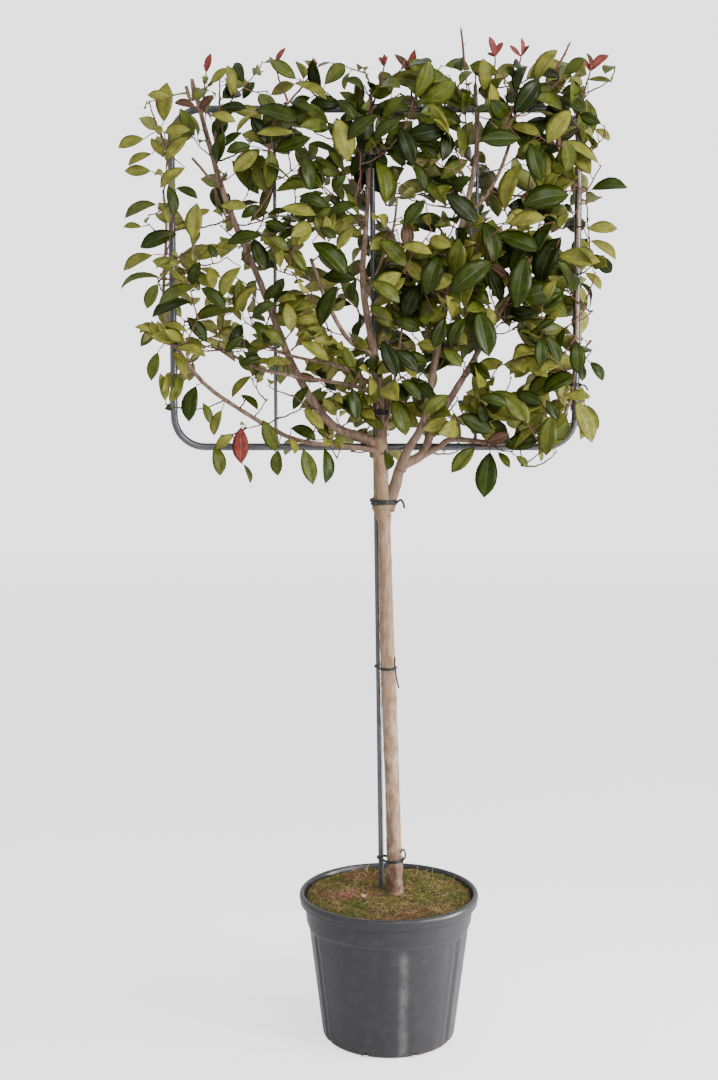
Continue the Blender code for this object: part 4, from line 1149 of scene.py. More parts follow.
def belt(name):
    """The tight level outline of what a tie holds, as even points."""
    height, held, _, radius = TIES[name]
    places = []
    for limb in held:
        centre, limb_radius = axis_at(*held_line(limb), height)
        reach = limb_radius * 1.04 + radius + TIE_SLACK
        for step in range(TIE_STEPS):
            angle = math.tau * step / TIE_STEPS
            places.append((centre[0] + reach * math.cos(angle),
                           centre[1] + reach * math.sin(angle)))
    return outer_loop(places)


# %% Ties: finish
TIE_BLACK = (0.014, 0.014, 0.015)
tie_finish, tree, sockets = new_finish("tie_plastic", TIE_BLACK, 0.55)
place = place_of(tree)
tree.links.new(dusted(tree, place, TIE_BLACK, (0.09, 0.085, 0.08), 0.5, 260.0),
               sockets["Base Color"])
rib = mottled(tree, place, 700.0)
tree.links.new(bump(tree, rib, 0.0002, 0.5), sockets["Normal"])

# %% Ties: turns, knots and tails
TIE_TAILS = {
    "tie_low": (((0.004, -0.003, 0.006), (0.008, -0.006, 0.014), (0.007, -0.006, 0.024),
                 (0.002, -0.004, 0.030), (-0.002, -0.003, 0.022)),),
    "tie_middle": (((0.001, -0.002, -0.004), (0.003, -0.006, -0.018), (0.008, -0.008, -0.042)),
                   ((0.000, -0.003, 0.004), (-0.001, -0.006, 0.014), (0.000, -0.007, 0.028))),
    "tie_graft": (((0.004, -0.004, 0.000), (0.012, -0.010, 0.006), (0.018, -0.012, -0.002),
                   (0.020, -0.010, -0.012)),),
    "tie_leader": (((0.003, -0.002, 0.000), (0.012, -0.006, 0.004), (0.020, -0.008, -0.004),
                    (0.022, -0.008, -0.016)),),
    "tie_left": (((0.002, -0.003, 0.000), (-0.006, -0.010, -0.006), (-0.008, -0.012, -0.020)),),
    "tie_right": (((0.002, -0.003, 0.000), (0.010, -0.010, -0.003), (0.016, -0.010, -0.012)),),
}
KNOT_BEARINGS_DEG = {"tie_left": (200.0,), "tie_graft": (-32.0, -78.0, -118.0, -165.0)}
TAIL_THICKNESS = 1.25
for order, (name, (height, held, turns, radius)) in enumerate(TIES.items()):
    rng = random.Random(500 + order)
    tie = Heap()
    flat = belt(name)
    for turn in range(turns):
        lift = (turn - 0.5 * (turns - 1)) * 2.1 * radius
        slope = rng.uniform(-0.10, 0.10)
        centre_x = sum(place[0] for place in flat) / len(flat)
        ring = [np.array((x, y, height + lift + slope * (x - centre_x))) for x, y in flat]
        tie.add(*tube(ring, [radius] * len(ring), 8, closed=True))
    knots = []
    for bearing_deg in KNOT_BEARINGS_DEG.get(name, (-32.0,)):
        bearing = math.radians(bearing_deg)
        way = np.array((math.cos(bearing), math.sin(bearing)))
        knot_x, knot_y = max(flat, key=lambda place: place[0] * way[0] + place[1] * way[1])
        knot = np.array((knot_x, knot_y, height + rng.uniform(-1.0, 1.0) * radius * len(knots)))
        tie.add(*lump(knot, (2.3 * radius, 2.1 * radius, 2.6 * radius), 0.35, float(order)))
        knots.append(knot)
    for tail in TIE_TAILS[name]:
        path = curve_through([knots[0]] + [knots[0] + np.array(place) for place in tail], 0.002)
        tie.add(*tube(path, [TAIL_THICKNESS * radius] * len(path), 8))
    make_piece(name + "_turns", tie, [tie_finish], [name])

# %% [markdown]
# The crown: how a shoot finds its place.
# Leaves could be scattered through the crown's volume, but then nothing would carry them. Here
# every leaf sits on a twig and every twig on a limb. The rule is the one the solids were grown
# by, with more and finer twigs. Points to be reached are set out over each mass, in front of and
# behind the flat of the crown. Each is reached from the nearest wood that lies below it, by an
# arch that first leans out and then rises, as a shoot does towards the light. A twig or leaf
# that would touch something already there is tried elsewhere.

# %% Crown: reach of the masses
MASS_NAMES = [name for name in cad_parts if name.startswith("foliage_")]
REACH_OUT = 0.004
REACH_IN = 0.030
LEAVES_PER_TWIG = 4.6
# Each part's most leaves, the share of its leaf joints in leaf, and its share of fresh sprays
CROWN_PARTS = {
    "left_low": (46, 1.0, 0.70), "left_mid": (112, 1.0, 0.86), "left_high": (62, 0.75, 0.70),
    "inner_low": (190, 1.0, 0.62), "inner_mid": (205, 0.84, 0.66),
    "inner_high": (215, 0.62, 0.05), "centre_low": (128, 0.48, 0.70),
    "centre_mid": (255, 0.84, 0.56), "centre_high": (250, 0.58, 0.12),
    "right_low": (165, 0.85, 0.62), "right_mid": (300, 0.96, 0.50), "right_high": (285, 0.54, 0.06),
}


def mass_reach(name):
    """The mass's own box, let out a little towards its neighbours but hardly outwards."""
    low, high = (np.array(corner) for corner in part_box(name))
    low[0] -= REACH_OUT if "_left_" in name else REACH_IN
    high[0] += REACH_OUT if "_right_" in name else REACH_IN
    low[2] -= REACH_OUT if name.endswith("_low") else REACH_IN
    high[2] += REACH_OUT if name.endswith("_high") else REACH_IN
    low[1] -= REACH_OUT
    high[1] += REACH_OUT
    return low, high


# Openings that show the background, in the photograph's pixels: middle, half width, half height
OPENINGS_PX = {
    "under the bar": ((188, 455, 18, 24), (229, 482, 8, 11), (260, 474, 7, 20), (291, 474, 7, 24),
                      (352, 474, 22, 28), (412, 474, 12, 26), (438, 464, 10, 9),
                      (465, 484, 9, 24), (522, 488, 20, 17), (546, 484, 18, 18),
                      (572, 470, 24, 22)),
    "left, low": ((213, 362, 16, 11), (222, 386, 11, 9), (256, 390, 9, 7), (268, 403, 8, 16),
                  (287, 402, 9, 20), (181, 415, 5, 24), (238, 413, 12, 6), (199, 437, 8, 10),
                  (338, 422, 10, 8)),
    "left, middle": ((187, 312, 8, 8), (290, 345, 8, 14), (228, 262, 12, 8), (243, 276, 8, 8),
                     (352, 316, 7, 10)),
    "left, high": ((213, 230, 12, 14), (183, 160, 11, 20), (234, 186, 14, 8), (184, 244, 8, 8),
                   (185, 213, 6, 8), (292, 163, 6, 12), (348, 243, 5, 13), (261, 247, 5, 6)),
    "left of the frame": ((128, 110, 16, 17), (130, 188, 16, 10), (128, 246, 12, 5),
                          (124, 312, 18, 20), (128, 376, 14, 24), (148, 425, 20, 40),
                          (126, 338, 14, 13), (130, 86, 14, 14), (150, 66, 10, 15)),
    "right": ((412, 334, 10, 7), (463, 374, 9, 9), (487, 352, 6, 9), (505, 340, 12, 20),
              (507, 384, 13, 11), (565, 322, 8, 8), (566, 352, 5, 10), (405, 436, 9, 11),
              (423, 238, 8, 12), (497, 220, 11, 8), (450, 230, 7, 6), (412, 172, 6, 8),
              (490, 147, 8, 6), (565, 240, 7, 11), (510, 190, 5, 10)),
    "right of the frame": ((606, 209, 18, 11), (612, 157, 14, 8), (606, 104, 16, 15),
                           (604, 322, 16, 32), (618, 286, 14, 18), (612, 406, 10, 16),
                           (610, 462, 22, 32), (596, 388, 11, 11)),
}
OPENINGS = np.array([opening for part in OPENINGS_PX.values() for opening in part])

# Stretches of wood with no leaf before them, in the photograph's pixels
BARE_WOOD_PX = {
    "main bough, top": ((205, 152), (214, 176), (225, 200)),
    "main bough, upper": ((230, 212), (238, 236)),
    "main bough, middle": ((246, 252), (262, 288)),
    "main bough, low": ((271, 306), (287, 345), (302, 380), (318, 406), (338, 430), (360, 438)),
    "second bough": ((309, 260), (322, 290), (338, 324), (347, 340)),
    "leader, top": ((366, 172), (365, 240)),
    "leader, middle": ((362, 262), (370, 330), (377, 352)),
    "level shoot": ((258, 346), (300, 358), (338, 372)),
    "level shoot, lower": ((262, 369), (300, 377), (350, 386)),
    "low bough": ((183, 366), (222, 398), (262, 421)),
    "centre stem": ((436, 350), (432, 388)),
    "centre shoot": ((396, 172), (393, 238)),
    "right bough": ((478, 346), (466, 366), (452, 392)),
    "right bough, upper": ((508, 296), (498, 318)),
    "right bough, top": ((508, 148), (500, 168), (487, 208)),
    "fork, left": ((422, 424), (404, 466)),
    "fork, right": ((446, 440), (408, 470)),
    "edge bough": ((577, 172), (577, 235)),
    "edge bough, low": ((577, 302), (577, 336)),
    "bar": ((384, 446), (416, 446)),
}
BARE_WOOD_REACH_PX = 4.5
BARE_WOOD_STEP_PX = 3.0
BARE_WOOD_Y = 0.03
MOST_OVER_WOOD = 0.12
MOST_IN_OPENINGS = 0.12
bare_wood = []
for bends in BARE_WOOD_PX.values():
    for near, far in zip(bends, bends[1:]):
        count = max(2, round(math.dist(near, far) / BARE_WOOD_STEP_PX))
        bare_wood.append(np.linspace(near, far, count))
BARE_WOOD = np.concatenate(bare_wood)


def hides_bare_wood(places, seen):
    """True for a leaf before the boughs that would be seen over a bare stretch of one."""
    if places[:, 1].min() > BARE_WOOD_Y:
        return False
    far = np.linalg.norm(seen[:, None] - BARE_WOOD[None], axis=2).min(axis=1)
    return float(np.mean(far < BARE_WOOD_REACH_PX)) > MOST_OVER_WOOD


def share_in_openings(seen):
    """How much of a leaf would stand in an opening, from where its places are seen."""
    far = ((seen[:, None, 0] - OPENINGS[:, 0]) / OPENINGS[:, 2]) ** 2
    far += ((seen[:, None, 1] - OPENINGS[:, 1]) / OPENINGS[:, 3]) ** 2
    return float(np.mean(np.any(far < 1.0, axis=1)))


# %% Crown: room that is taken
ON_A_BOUGH = -1


class Taken:
    """Places that are already filled, each with its own radius and owner."""

    def __init__(self, room=90000):
        self.places = np.zeros((room, 3))
        self.radii = np.zeros(room)
        self.owners = np.zeros(room, int)
        self.count = 0

    def add(self, places, radii, owner):
        places = np.atleast_2d(places)
        here = slice(self.count, self.count + len(places))
        self.places[here] = places
        self.radii[here] = radii
        self.owners[here] = owner
        self.count += len(places)

    def free(self, places, clearance, skip=-2):
        """True when no filled place is nearer than its radius and the clearance."""
        middle = places.mean(axis=0)
        around = np.abs(places - middle).max() + 0.035
        known = self.places[:self.count]
        near = (np.abs(known - middle) < around).all(axis=1) & (self.owners[:self.count] != skip)
        if not near.any():
            return True
        far = np.linalg.norm(places[:, None] - known[near][None], axis=2)
        return bool((far > self.radii[:self.count][near] + clearance).all())


wood = Taken()
for name in BOUGHS:
    path, radii = bough_line(name)
    wood.add(path, radii, ON_A_BOUGH)
path, radii = trunk_line()
wood.add(path, radii, ON_A_BOUGH)
around = [np.linspace(a, b, 6, endpoint=False) for a, b in zip(loop, loop[1:] + loop[:1])]
wood.add(np.concatenate(around), TUBE_RADIUS, ON_A_BOUGH)
for line, radius in [(upright, UPRIGHT_RADIUS)] + [(line, ROD_RADIUS) for line in rods]:
    wood.add(curve_through([line[0], line[-1]], LIMB_STEP), radius, ON_A_BOUGH)
blades = Taken()
print("openings:", len(OPENINGS), "places taken by limbs and frame:", wood.count)

# %% [markdown]
# The crown: twigs.
# A twig is a tapering tube with a slight zigzag at its leaf joints, thick at its foot, and it
# starts on the axis of the wood that carries it, so that no gap shows. Older twigs are brown, and
# two in five, taken at random, are red like young shoots. Each start keeps its twig's number and
# how far along it lies, so that a twig can be cut back later to the last thing that grows on it.

# %% Crown: grow the twigs
TWIG_STEP = 0.009
TWIG_SWING = 0.0006
TWIG_TIP = 0.0012
TWIG_TAPER = 0.0085
TWIG_ROOM = 0.0025
TWIG_ARCH = 0.16
TWIG_SHORTEST = 0.045
TWIG_LONGEST = 0.34
DOWNWARD_COST = 0.9
LEAST_RISE = 0.03
LEAF_ROOM = 0.035
MIDDLE_PLANE = (-0.022, 0.055)
FRONT_SHARE = 0.56
MIDDLE_SHARE = 0.14
twigs = []
carriers = []


def arch(start, end, sag):
    """A shoot's line: out from the wood, then up to its end, with a little zigzag."""
    length = float(np.linalg.norm(end - start))
    parts = max(4, round(length / TWIG_STEP))
    level = math.hypot(end[0] - start[0], end[1] - start[1])
    middle = (start + end) / 2 - np.array((0.0, 0.0, sag * level))
    t = np.linspace(0.0, 1.0, parts + 1)[:, None]
    path = start * (1 - t) ** 2 + middle * 2 * t * (1 - t) + end * t * t
    side = unit(np.cross(end - start, (0.31, 0.87, 0.2)))
    swing = np.array([0.0 if i in (0, parts) else (-1) ** (i // 2) for i in range(parts + 1)])
    return path + side * (TWIG_SWING * swing)[:, None]


def as_starts(path, runs, owner):
    """Places that a shoot may start from, each with its twig's number and its run along it."""
    return [np.array((*place, owner, run)) for place, run in zip(path, runs)]


def grow_to(end, starts, low, high, rng, label):
    """One twig to a point, from the best of the wood below it. Returns new starts, or none."""
    known = np.array(starts)
    far = np.linalg.norm(known[:, :3] - end, axis=1)
    rise = end[2] - known[:, 2]
    cost = far + DOWNWARD_COST * np.maximum(0.0, LEAST_RISE - rise)
    for choice in np.argsort(cost)[:24:3]:
        if not TWIG_SHORTEST < far[choice] < TWIG_LONGEST:
            continue
        path = arch(known[choice, :3], end, TWIG_ARCH * rng.uniform(0.6, 1.3))
        if (path < low).any() or (path > high).any():
            continue
        if not wood.free(path[3:], TWIG_ROOM + TWIG_TIP):
            continue
        run = lengths_along(path)
        radii = TWIG_TIP + TWIG_TAPER * (run[-1] - run)
        radii[0] *= 1.5
        owner = len(twigs)
        wood.add(path[2:], radii[2:], owner)
        twigs.append((path, radii, label))
        carriers.append((int(known[choice, 3]), float(known[choice, 4])))
        return as_starts(path[3::2], run[3::2], owner)
    return []


def depth_of_target(low, high, rng):
    """Most shoots stand before or behind the flat of the crown, and some stay in it."""
    pick = rng.random()
    if pick < MIDDLE_SHARE:
        return rng.uniform(*MIDDLE_PLANE)
    if pick < MIDDLE_SHARE + FRONT_SHARE:
        return rng.uniform(low[1] + LEAF_ROOM, MIDDLE_PLANE[0])
    return rng.uniform(MIDDLE_PLANE[1], high[1] - LEAF_ROOM)


bough_starts = []
for name in BOUGHS:
    path, _ = bough_line(name)
    bough_starts += as_starts(path[::2], [0.0] * len(path[::2]), ON_A_BOUGH)
all_starts = list(bough_starts)
for mass in MASS_NAMES:
    rng = random.Random(mass)
    low, high = mass_reach(mass)
    label = mass.removeprefix("foliage_")
    count = CROWN_PARTS[label][0] / LEAVES_PER_TWIG
    starts = [start for start in bough_starts
              if (start[:3] > low - 0.03).all() and (start[:3] < high + 0.03).all()]
    first_x = low[0] + (LEAF_ROOM if "left" in label else 0.0)
    first_z = low[2] + (LEAF_ROOM if "low" in label else 0.0)
    wide = high[0] - (LEAF_ROOM if "right" in label else 0.0) - first_x
    tall = high[2] - (LEAF_ROOM if "high" in label else 0.0) - first_z
    columns = max(2, round(math.sqrt(count * wide / tall)))
    rows = max(2, round(count / columns))
    ends = []
    for column in range(columns):
        for row in range(rows):
            x = first_x + wide * (column + rng.uniform(0.1, 0.9)) / columns
            z = first_z + tall * (row + rng.uniform(0.1, 0.9)) / rows
            ends.append(np.array((x, depth_of_target(low, high, rng), z)))
    nearest = np.array(starts)[:, :3]
    ends.sort(key=lambda end: float(np.linalg.norm(nearest - end, axis=1).min()))
    grown = 0
    for end in ends:
        for _ in range(8):
            added = grow_to(end, starts, low, high, rng, label)
            if added:
                starts += added
                all_starts += added
                grown += 1
                break
            shift = (rng.uniform(-0.03, 0.03), rng.uniform(-0.02, 0.02), rng.uniform(-0.02, 0.04))
            end = np.clip(end + np.array(shift), low + 0.01, high - 0.01)
    print(f"{mass}: {grown} of {len(ends)} twigs")
all_starts = np.array(all_starts)
carried_to = np.zeros(len(twigs))

# %% [markdown]
# The crown: one leaf.
# A photinia leaf is a leathery ellipse, widest past its middle, with a short point, a pale
# midrib, and a slight fold along it. It bends down towards its tip. The blade is a thin closed
# shell. Its upper side, its underside and its midrib are separate faces, so each takes its own
# finish without any picture being painted on it.

# %% Crown: leaf shape
LEAF_STATIONS = np.array(((0.10, 0.34), (0.22, 0.66), (0.36, 0.90), (0.50, 1.00), (0.64, 0.96),
                          (0.77, 0.76), (0.88, 0.43), (0.95, 0.17)))
LEAF_COLUMNS = np.array((-1.0, -0.52, -0.04, 0.04, 0.52, 1.0))
LEAF_THICKNESS = 0.0004
ON_UPPER, ON_UNDER, ON_RIB = 0, 1, 2


def leaf_faces():
    """Faces of one leaf and the finish of each, the same for all leaves."""
    rows, columns = len(LEAF_STATIONS), len(LEAF_COLUMNS)
    tip = 1 + rows * columns
    upper = [[1 + row * columns + column for column in range(columns)] for row in range(rows)]
    under = [[upper[row][0]] + [tip + 1 + row * (columns - 2) + column - 1
                                for column in range(1, columns - 1)] + [upper[row][-1]]
             for row in range(rows)]
    faces, kinds = [], []
    for column in range(columns - 1):
        side = ON_RIB if column == columns // 2 - 1 else ON_UPPER
        after = column + 1
        faces.append((0, upper[0][after], upper[0][column]))
        faces.append((tip, upper[-1][column], upper[-1][after]))
        faces.append((0, under[0][column], under[0][after]))
        faces.append((tip, under[-1][after], under[-1][column]))
        kinds += [side, side, ON_UNDER, ON_UNDER]
        for row in range(rows - 1):
            faces.append((upper[row][column], upper[row][after],
                          upper[row + 1][after], upper[row + 1][column]))
            faces.append((under[row][column], under[row + 1][column],
                          under[row + 1][after], under[row][after]))
            kinds += [side, ON_UNDER]
    return faces, kinds


LEAF_FACES, LEAF_KINDS = leaf_faces()


class Leaf:
    """A bent and folded blade, given by its root, its direction and its light."""

    def __init__(self, root, axis, light, length, rng, slim=1.0):
        self.root = root
        self.length = length
        self.half = 0.5 * length * rng.uniform(0.42, 0.52) * slim
        self.droop = rng.uniform(0.30, 1.45)
        self.fold = rng.uniform(0.08, 0.36)
        self.wave = rng.uniform(0.0, 0.05) * self.half
        self.phase = rng.uniform(0.0, math.tau)
        axis = unit(axis)
        self.across = unit(np.cross(axis, light))
        up = np.cross(self.across, axis)
        self.start = axis * math.cos(self.droop / 2) + up * math.sin(self.droop / 2)
        self.rise = up * math.cos(self.droop / 2) - axis * math.sin(self.droop / 2)

    def reach_to(self, distance):
        """Lengthen the blade so that its tip lies at a distance from its root in spite of its bend."""
        self.length = distance * (self.droop / 2) / math.sin(self.droop / 2)

    def surface(self, shares, widths, columns):
        """Places on the upper side, by share of length, half width there, and column."""
        angle = self.droop * shares
        sine, cosine = np.sin(angle)[:, None], np.cos(angle)[:, None]
        centre = self.root + self.length / self.droop * (
            self.start * sine - self.rise * (1.0 - cosine))
        top = self.rise * cosine + self.start * sine
        width = (self.half * widths)[:, None]
        level = columns * width * math.cos(self.fold)
        lift = np.abs(columns) * width * math.sin(self.fold)
        lift = lift + self.wave * columns ** 2 * np.sin(self.phase + 9.0 * shares)[:, None]
        return (centre[:, None] + self.across * level[..., None]
                + top[:, None] * lift[..., None]), top

    def samples(self):
        shares, widths = np.array((0.18, 0.38, 0.58, 0.78)), np.array((0.55, 0.92, 0.98, 0.74))
        places, _ = self.surface(shares, widths, np.array((-0.85, 0.0, 0.85)))
        tip, _ = self.surface(np.array((1.0,)), np.array((0.0,)), np.array((0.0,)))
        return np.concatenate([places.reshape(-1, 3), tip.reshape(-1, 3)])

    def mesh(self):
        shares, widths = LEAF_STATIONS.T
        upper, top = self.surface(shares, widths, LEAF_COLUMNS)
        under = upper[:, 1:-1] - top[:, None] * LEAF_THICKNESS
        tip, _ = self.surface(np.array((1.0,)), np.array((0.0,)), np.array((0.0,)))
        return np.concatenate([self.root[None], upper.reshape(-1, 3), tip.reshape(-1, 3),
                               under.reshape(-1, 3)])


print("triangles in a leaf:", sum(len(face) - 2 for face in LEAF_FACES))

# %% [markdown]
# The crown: leaf colours.
# Old leaves are dark and glossy, last year's are mid green, and the soft new ones run from
# yellow-green through bronze to the red that names the plant. Colour belongs to the age of a
# whole spray, so it is dealt out by spray, each age as a piece of its own, and there are more
# fresh sprays at the left and along the top, as in the photograph.

# %% Crown: leaf finishes
# Upper side, its roughness, midrib and underside, from the oldest to the newest
LEAF_AGES = {
    "deep": ((0.0105, 0.0185, 0.0008), 0.27, (0.029, 0.037, 0.005), (0.135, 0.150, 0.030)),
    "dark": ((0.0235, 0.0370, 0.0011), 0.29, (0.041, 0.053, 0.007), (0.150, 0.165, 0.034)),
    "mid": ((0.073, 0.088, 0.0085), 0.33, (0.094, 0.105, 0.017), (0.195, 0.205, 0.042)),
    "fresh": ((0.176, 0.175, 0.0270), 0.42, (0.229, 0.222, 0.048), (0.310, 0.295, 0.062)),
    "bronze": ((0.062, 0.030, 0.0140), 0.36, (0.130, 0.060, 0.028), (0.200, 0.095, 0.050)),
    "red": ((0.205, 0.040, 0.0320), 0.36, (0.340, 0.085, 0.062), (0.380, 0.110, 0.085)),
}


def leaf_finish(name, tint, roughness, depth, **sockets_by_name):
    """Leaf skin: two close tints in soft patches, fine unevenness between the side veins."""
    finish, tree, sockets = new_finish(name, tint, roughness, **sockets_by_name)
    place = place_of(tree)
    patch = mottled(tree, place, 55.0, 0.32, 0.68)
    pale = tuple(1.25 * part for part in tint)
    dull = tuple(0.72 * part for part in tint)
    tree.links.new(blend_colour(tree, patch, dull, pale), sockets["Base Color"])
    pucker = mottled(tree, place, 260.0, 0.2, 0.8)
    tree.links.new(bump(tree, pucker, depth, 0.5), sockets["Normal"])
    return finish


leaf_finishes = {}
for kind, (upper, roughness, rib, under) in LEAF_AGES.items():
    leaf_finishes[kind] = [
        leaf_finish("leaf_upper_" + kind, upper, roughness, 0.0006,
                    Specular_IOR_Level=0.14, Coat_Weight=0.05, Coat_Roughness=0.16),
        leaf_finish("leaf_under_" + kind, under, 0.62, 0.0004),
        leaf_finish("leaf_rib_" + kind, rib, 0.5, 0.0002),
    ]

AGES = tuple(LEAF_AGES)
# How the sprays that aren't fresh divide between the other ages, from deep to red
OTHER_SHARES = {
    "left": (0.04, 0.30, 0.635, 0.022, 0.003), "inner": (0.12, 0.35, 0.512, 0.015, 0.003),
    "centre": (0.10, 0.33, 0.557, 0.010, 0.003), "right": (0.10, 0.33, 0.557, 0.010, 0.003),
}


def age_shares(label):
    """Shares of deep, dark, mid, fresh, bronze and red sprays in one part of the crown."""
    fresh = CROWN_PARTS[label][2]
    others = [(1.0 - fresh) * share for share in OTHER_SHARES[label.split("_")[0]]]
    return (*others[:3], fresh, *others[3:])


LEAF_SLIMNESS = {"left": 0.82, "inner": 0.92, "centre": 1.05, "right": 1.08}
NEW_GROWTH_ABOVE = 2.12

# %% [markdown]
# The crown: leaves that stand alone.
# Deep in the crown no single leaf can be told from the next, so a rule may deal them out. At the
# edge each leaf is seen by itself, and there the eye knows the plant by them: the red
# leaf under the bar, the long pair beside it, the lowest one at the right. Those are placed
# first, root and tip by their pixels in the photograph, turned to the camera or away from it,
# each on a spur from the nearest wood. The largest leaves at the front of the crown follow in
# the same way. The grown leaves then keep clear of all of them and don't hide them. Those that
# have only the open behind them also keep free of leaves behind.

# %% Crown: spurs
SPUR_TIP = 0.0010
SPUR_TAPER = 0.008
SPUR_ROOM = 0.0016
leaf_heaps = {kind: Heap() for kind in AGES}
young = Heap()
petioles = Heap()


def spur_to(end, least_drop=-1.0, sag=0.0, skip_free=False, radius=SPUR_TIP):
    """A thin stem to a point from the nearest wood, which lies at least a drop below it."""
    allowed = all_starts[all_starts[:, 2] < end[2] - least_drop]
    far = np.linalg.norm((allowed[:, :3] - end) * (1.3, 0.9, 1.0), axis=1)
    order = np.argsort(far)
    for choice in order[:16]:
        start = allowed[choice]
        path = arch(start[:3], end, sag)
        if skip_free or wood.free(path[3:], SPUR_ROOM, int(start[3])):
            break
    else:
        return None
    run = lengths_along(path)
    young.add(*tube(path, radius + SPUR_TAPER * (run[-1] - run), 6))
    wood.add(path[2:], SPUR_TIP, ON_A_BOUGH)
    if start[3] >= 0:
        carried_to[int(start[3])] = max(carried_to[int(start[3])], start[4])
    return path


def leaf_between(root, tip, turned_deg, rng, slim):
    """A leaf from root to tip. Its face looks at the camera, or is turned from it by an angle."""
    axis = unit(tip - root)
    facing = unit(np.array(CAMERA_PLACE) - root)
    facing = unit(facing - axis * float(np.dot(facing, axis)))
    side = np.cross(axis, facing)
    if side[2] < 0.0:
        side = -side
    turned = math.radians(turned_deg)
    light = facing * math.cos(turned) + side * math.sin(turned)
    far = float(np.linalg.norm(tip - root))
    leaf = Leaf(root, axis, light, far, rng, slim)
    leaf.reach_to(far)
    return leaf


def keep_leaf(leaf, kind, owner):
    blades.add(leaf.samples(), 0.0, owner)
    leaf_heaps[kind].add(leaf.mesh(), LEAF_FACES, LEAF_KINDS)


# %% Crown: place the leaves that stand alone
# Root and tip in the photograph's pixels, each across and down, degrees turned from the camera,
# and age
LEAVES_ALONE = {
    "low bough": (
        (196, 386, 189, 422, 25, "dark"), (203, 403, 210, 424, 30, "mid"), (222, 410, 214, 436, 40, "fresh"),
        (252, 376, 232, 398, 50, "fresh"), (241, 395, 258, 410, 50, "dark"),
    ),
    "main bough": (
        (309, 386, 293, 410, 35, "dark"),
    ),
    "bar": (
        (215, 446, 220, 476, 15, "mid"), (233, 435, 216, 449, 15, "fresh"), (241, 427, 241, 464, 10, "red"),
        (243, 464, 250, 484, 60, "mid"), (263, 420, 276, 452, 5, "mid"), (278, 450, 278, 476, 20, "mid"),
        (303, 449, 313, 485, 15, "mid"), (324, 448, 325, 484, 40, "dark"), (291, 428, 316, 440, 30, "dark"),
    ),
    "low right": (
        (475, 447, 451, 473, 15, "mid"), (490, 452, 484, 498, 5, "dark"), (498, 452, 510, 468, 30, "mid"),
        (516, 456, 528, 467, 20, "mid"), (539, 448, 541, 462, 40, "fresh"),
    ),
    "edge left": (
        (144, 139, 118, 148, 35, "fresh"), (152, 154, 128, 166, 50, "fresh"),
        (151, 171, 124, 171, 15, "fresh"), (157, 205, 125, 219, 50, "mid"),
        (142, 227, 123, 227, 45, "fresh"), (177, 234, 140, 248, 20, "dark"),
        (153, 255, 123, 271, 40, "fresh"), (161, 279, 120, 290, 68, "mid"), (158, 284, 147, 309, 20, "mid"),
        (158, 352, 151, 381, 25, "mid"),
    ),
    "top": (
        (164, 122, 167, 82, 20, "fresh"), (233, 93, 227, 65, 25, "fresh"), (243, 99, 255, 82, 20, "dark"),
        (271, 95, 295, 84, 30, "fresh"), (295, 84, 327, 100, 50, "fresh"), (484, 92, 483, 58, 15, "fresh"),
        (536, 84, 558, 50, 40, "fresh"), (587, 80, 613, 82, 60, "mid"),
    ),
    "edge right": (
        (596, 129, 610, 141, 25, "fresh"), (591, 190, 628, 188, 45, "dark"),
        (587, 229, 618, 229, 35, "fresh"), (590, 241, 616, 260, 55, "fresh"),
        (585, 273, 601, 290, 30, "fresh"), (590, 362, 603, 381, 25, "dark"),
        (578, 408, 580, 440, 45, "fresh"), (585, 411, 597, 429, 45, "mid"),
    ),
}
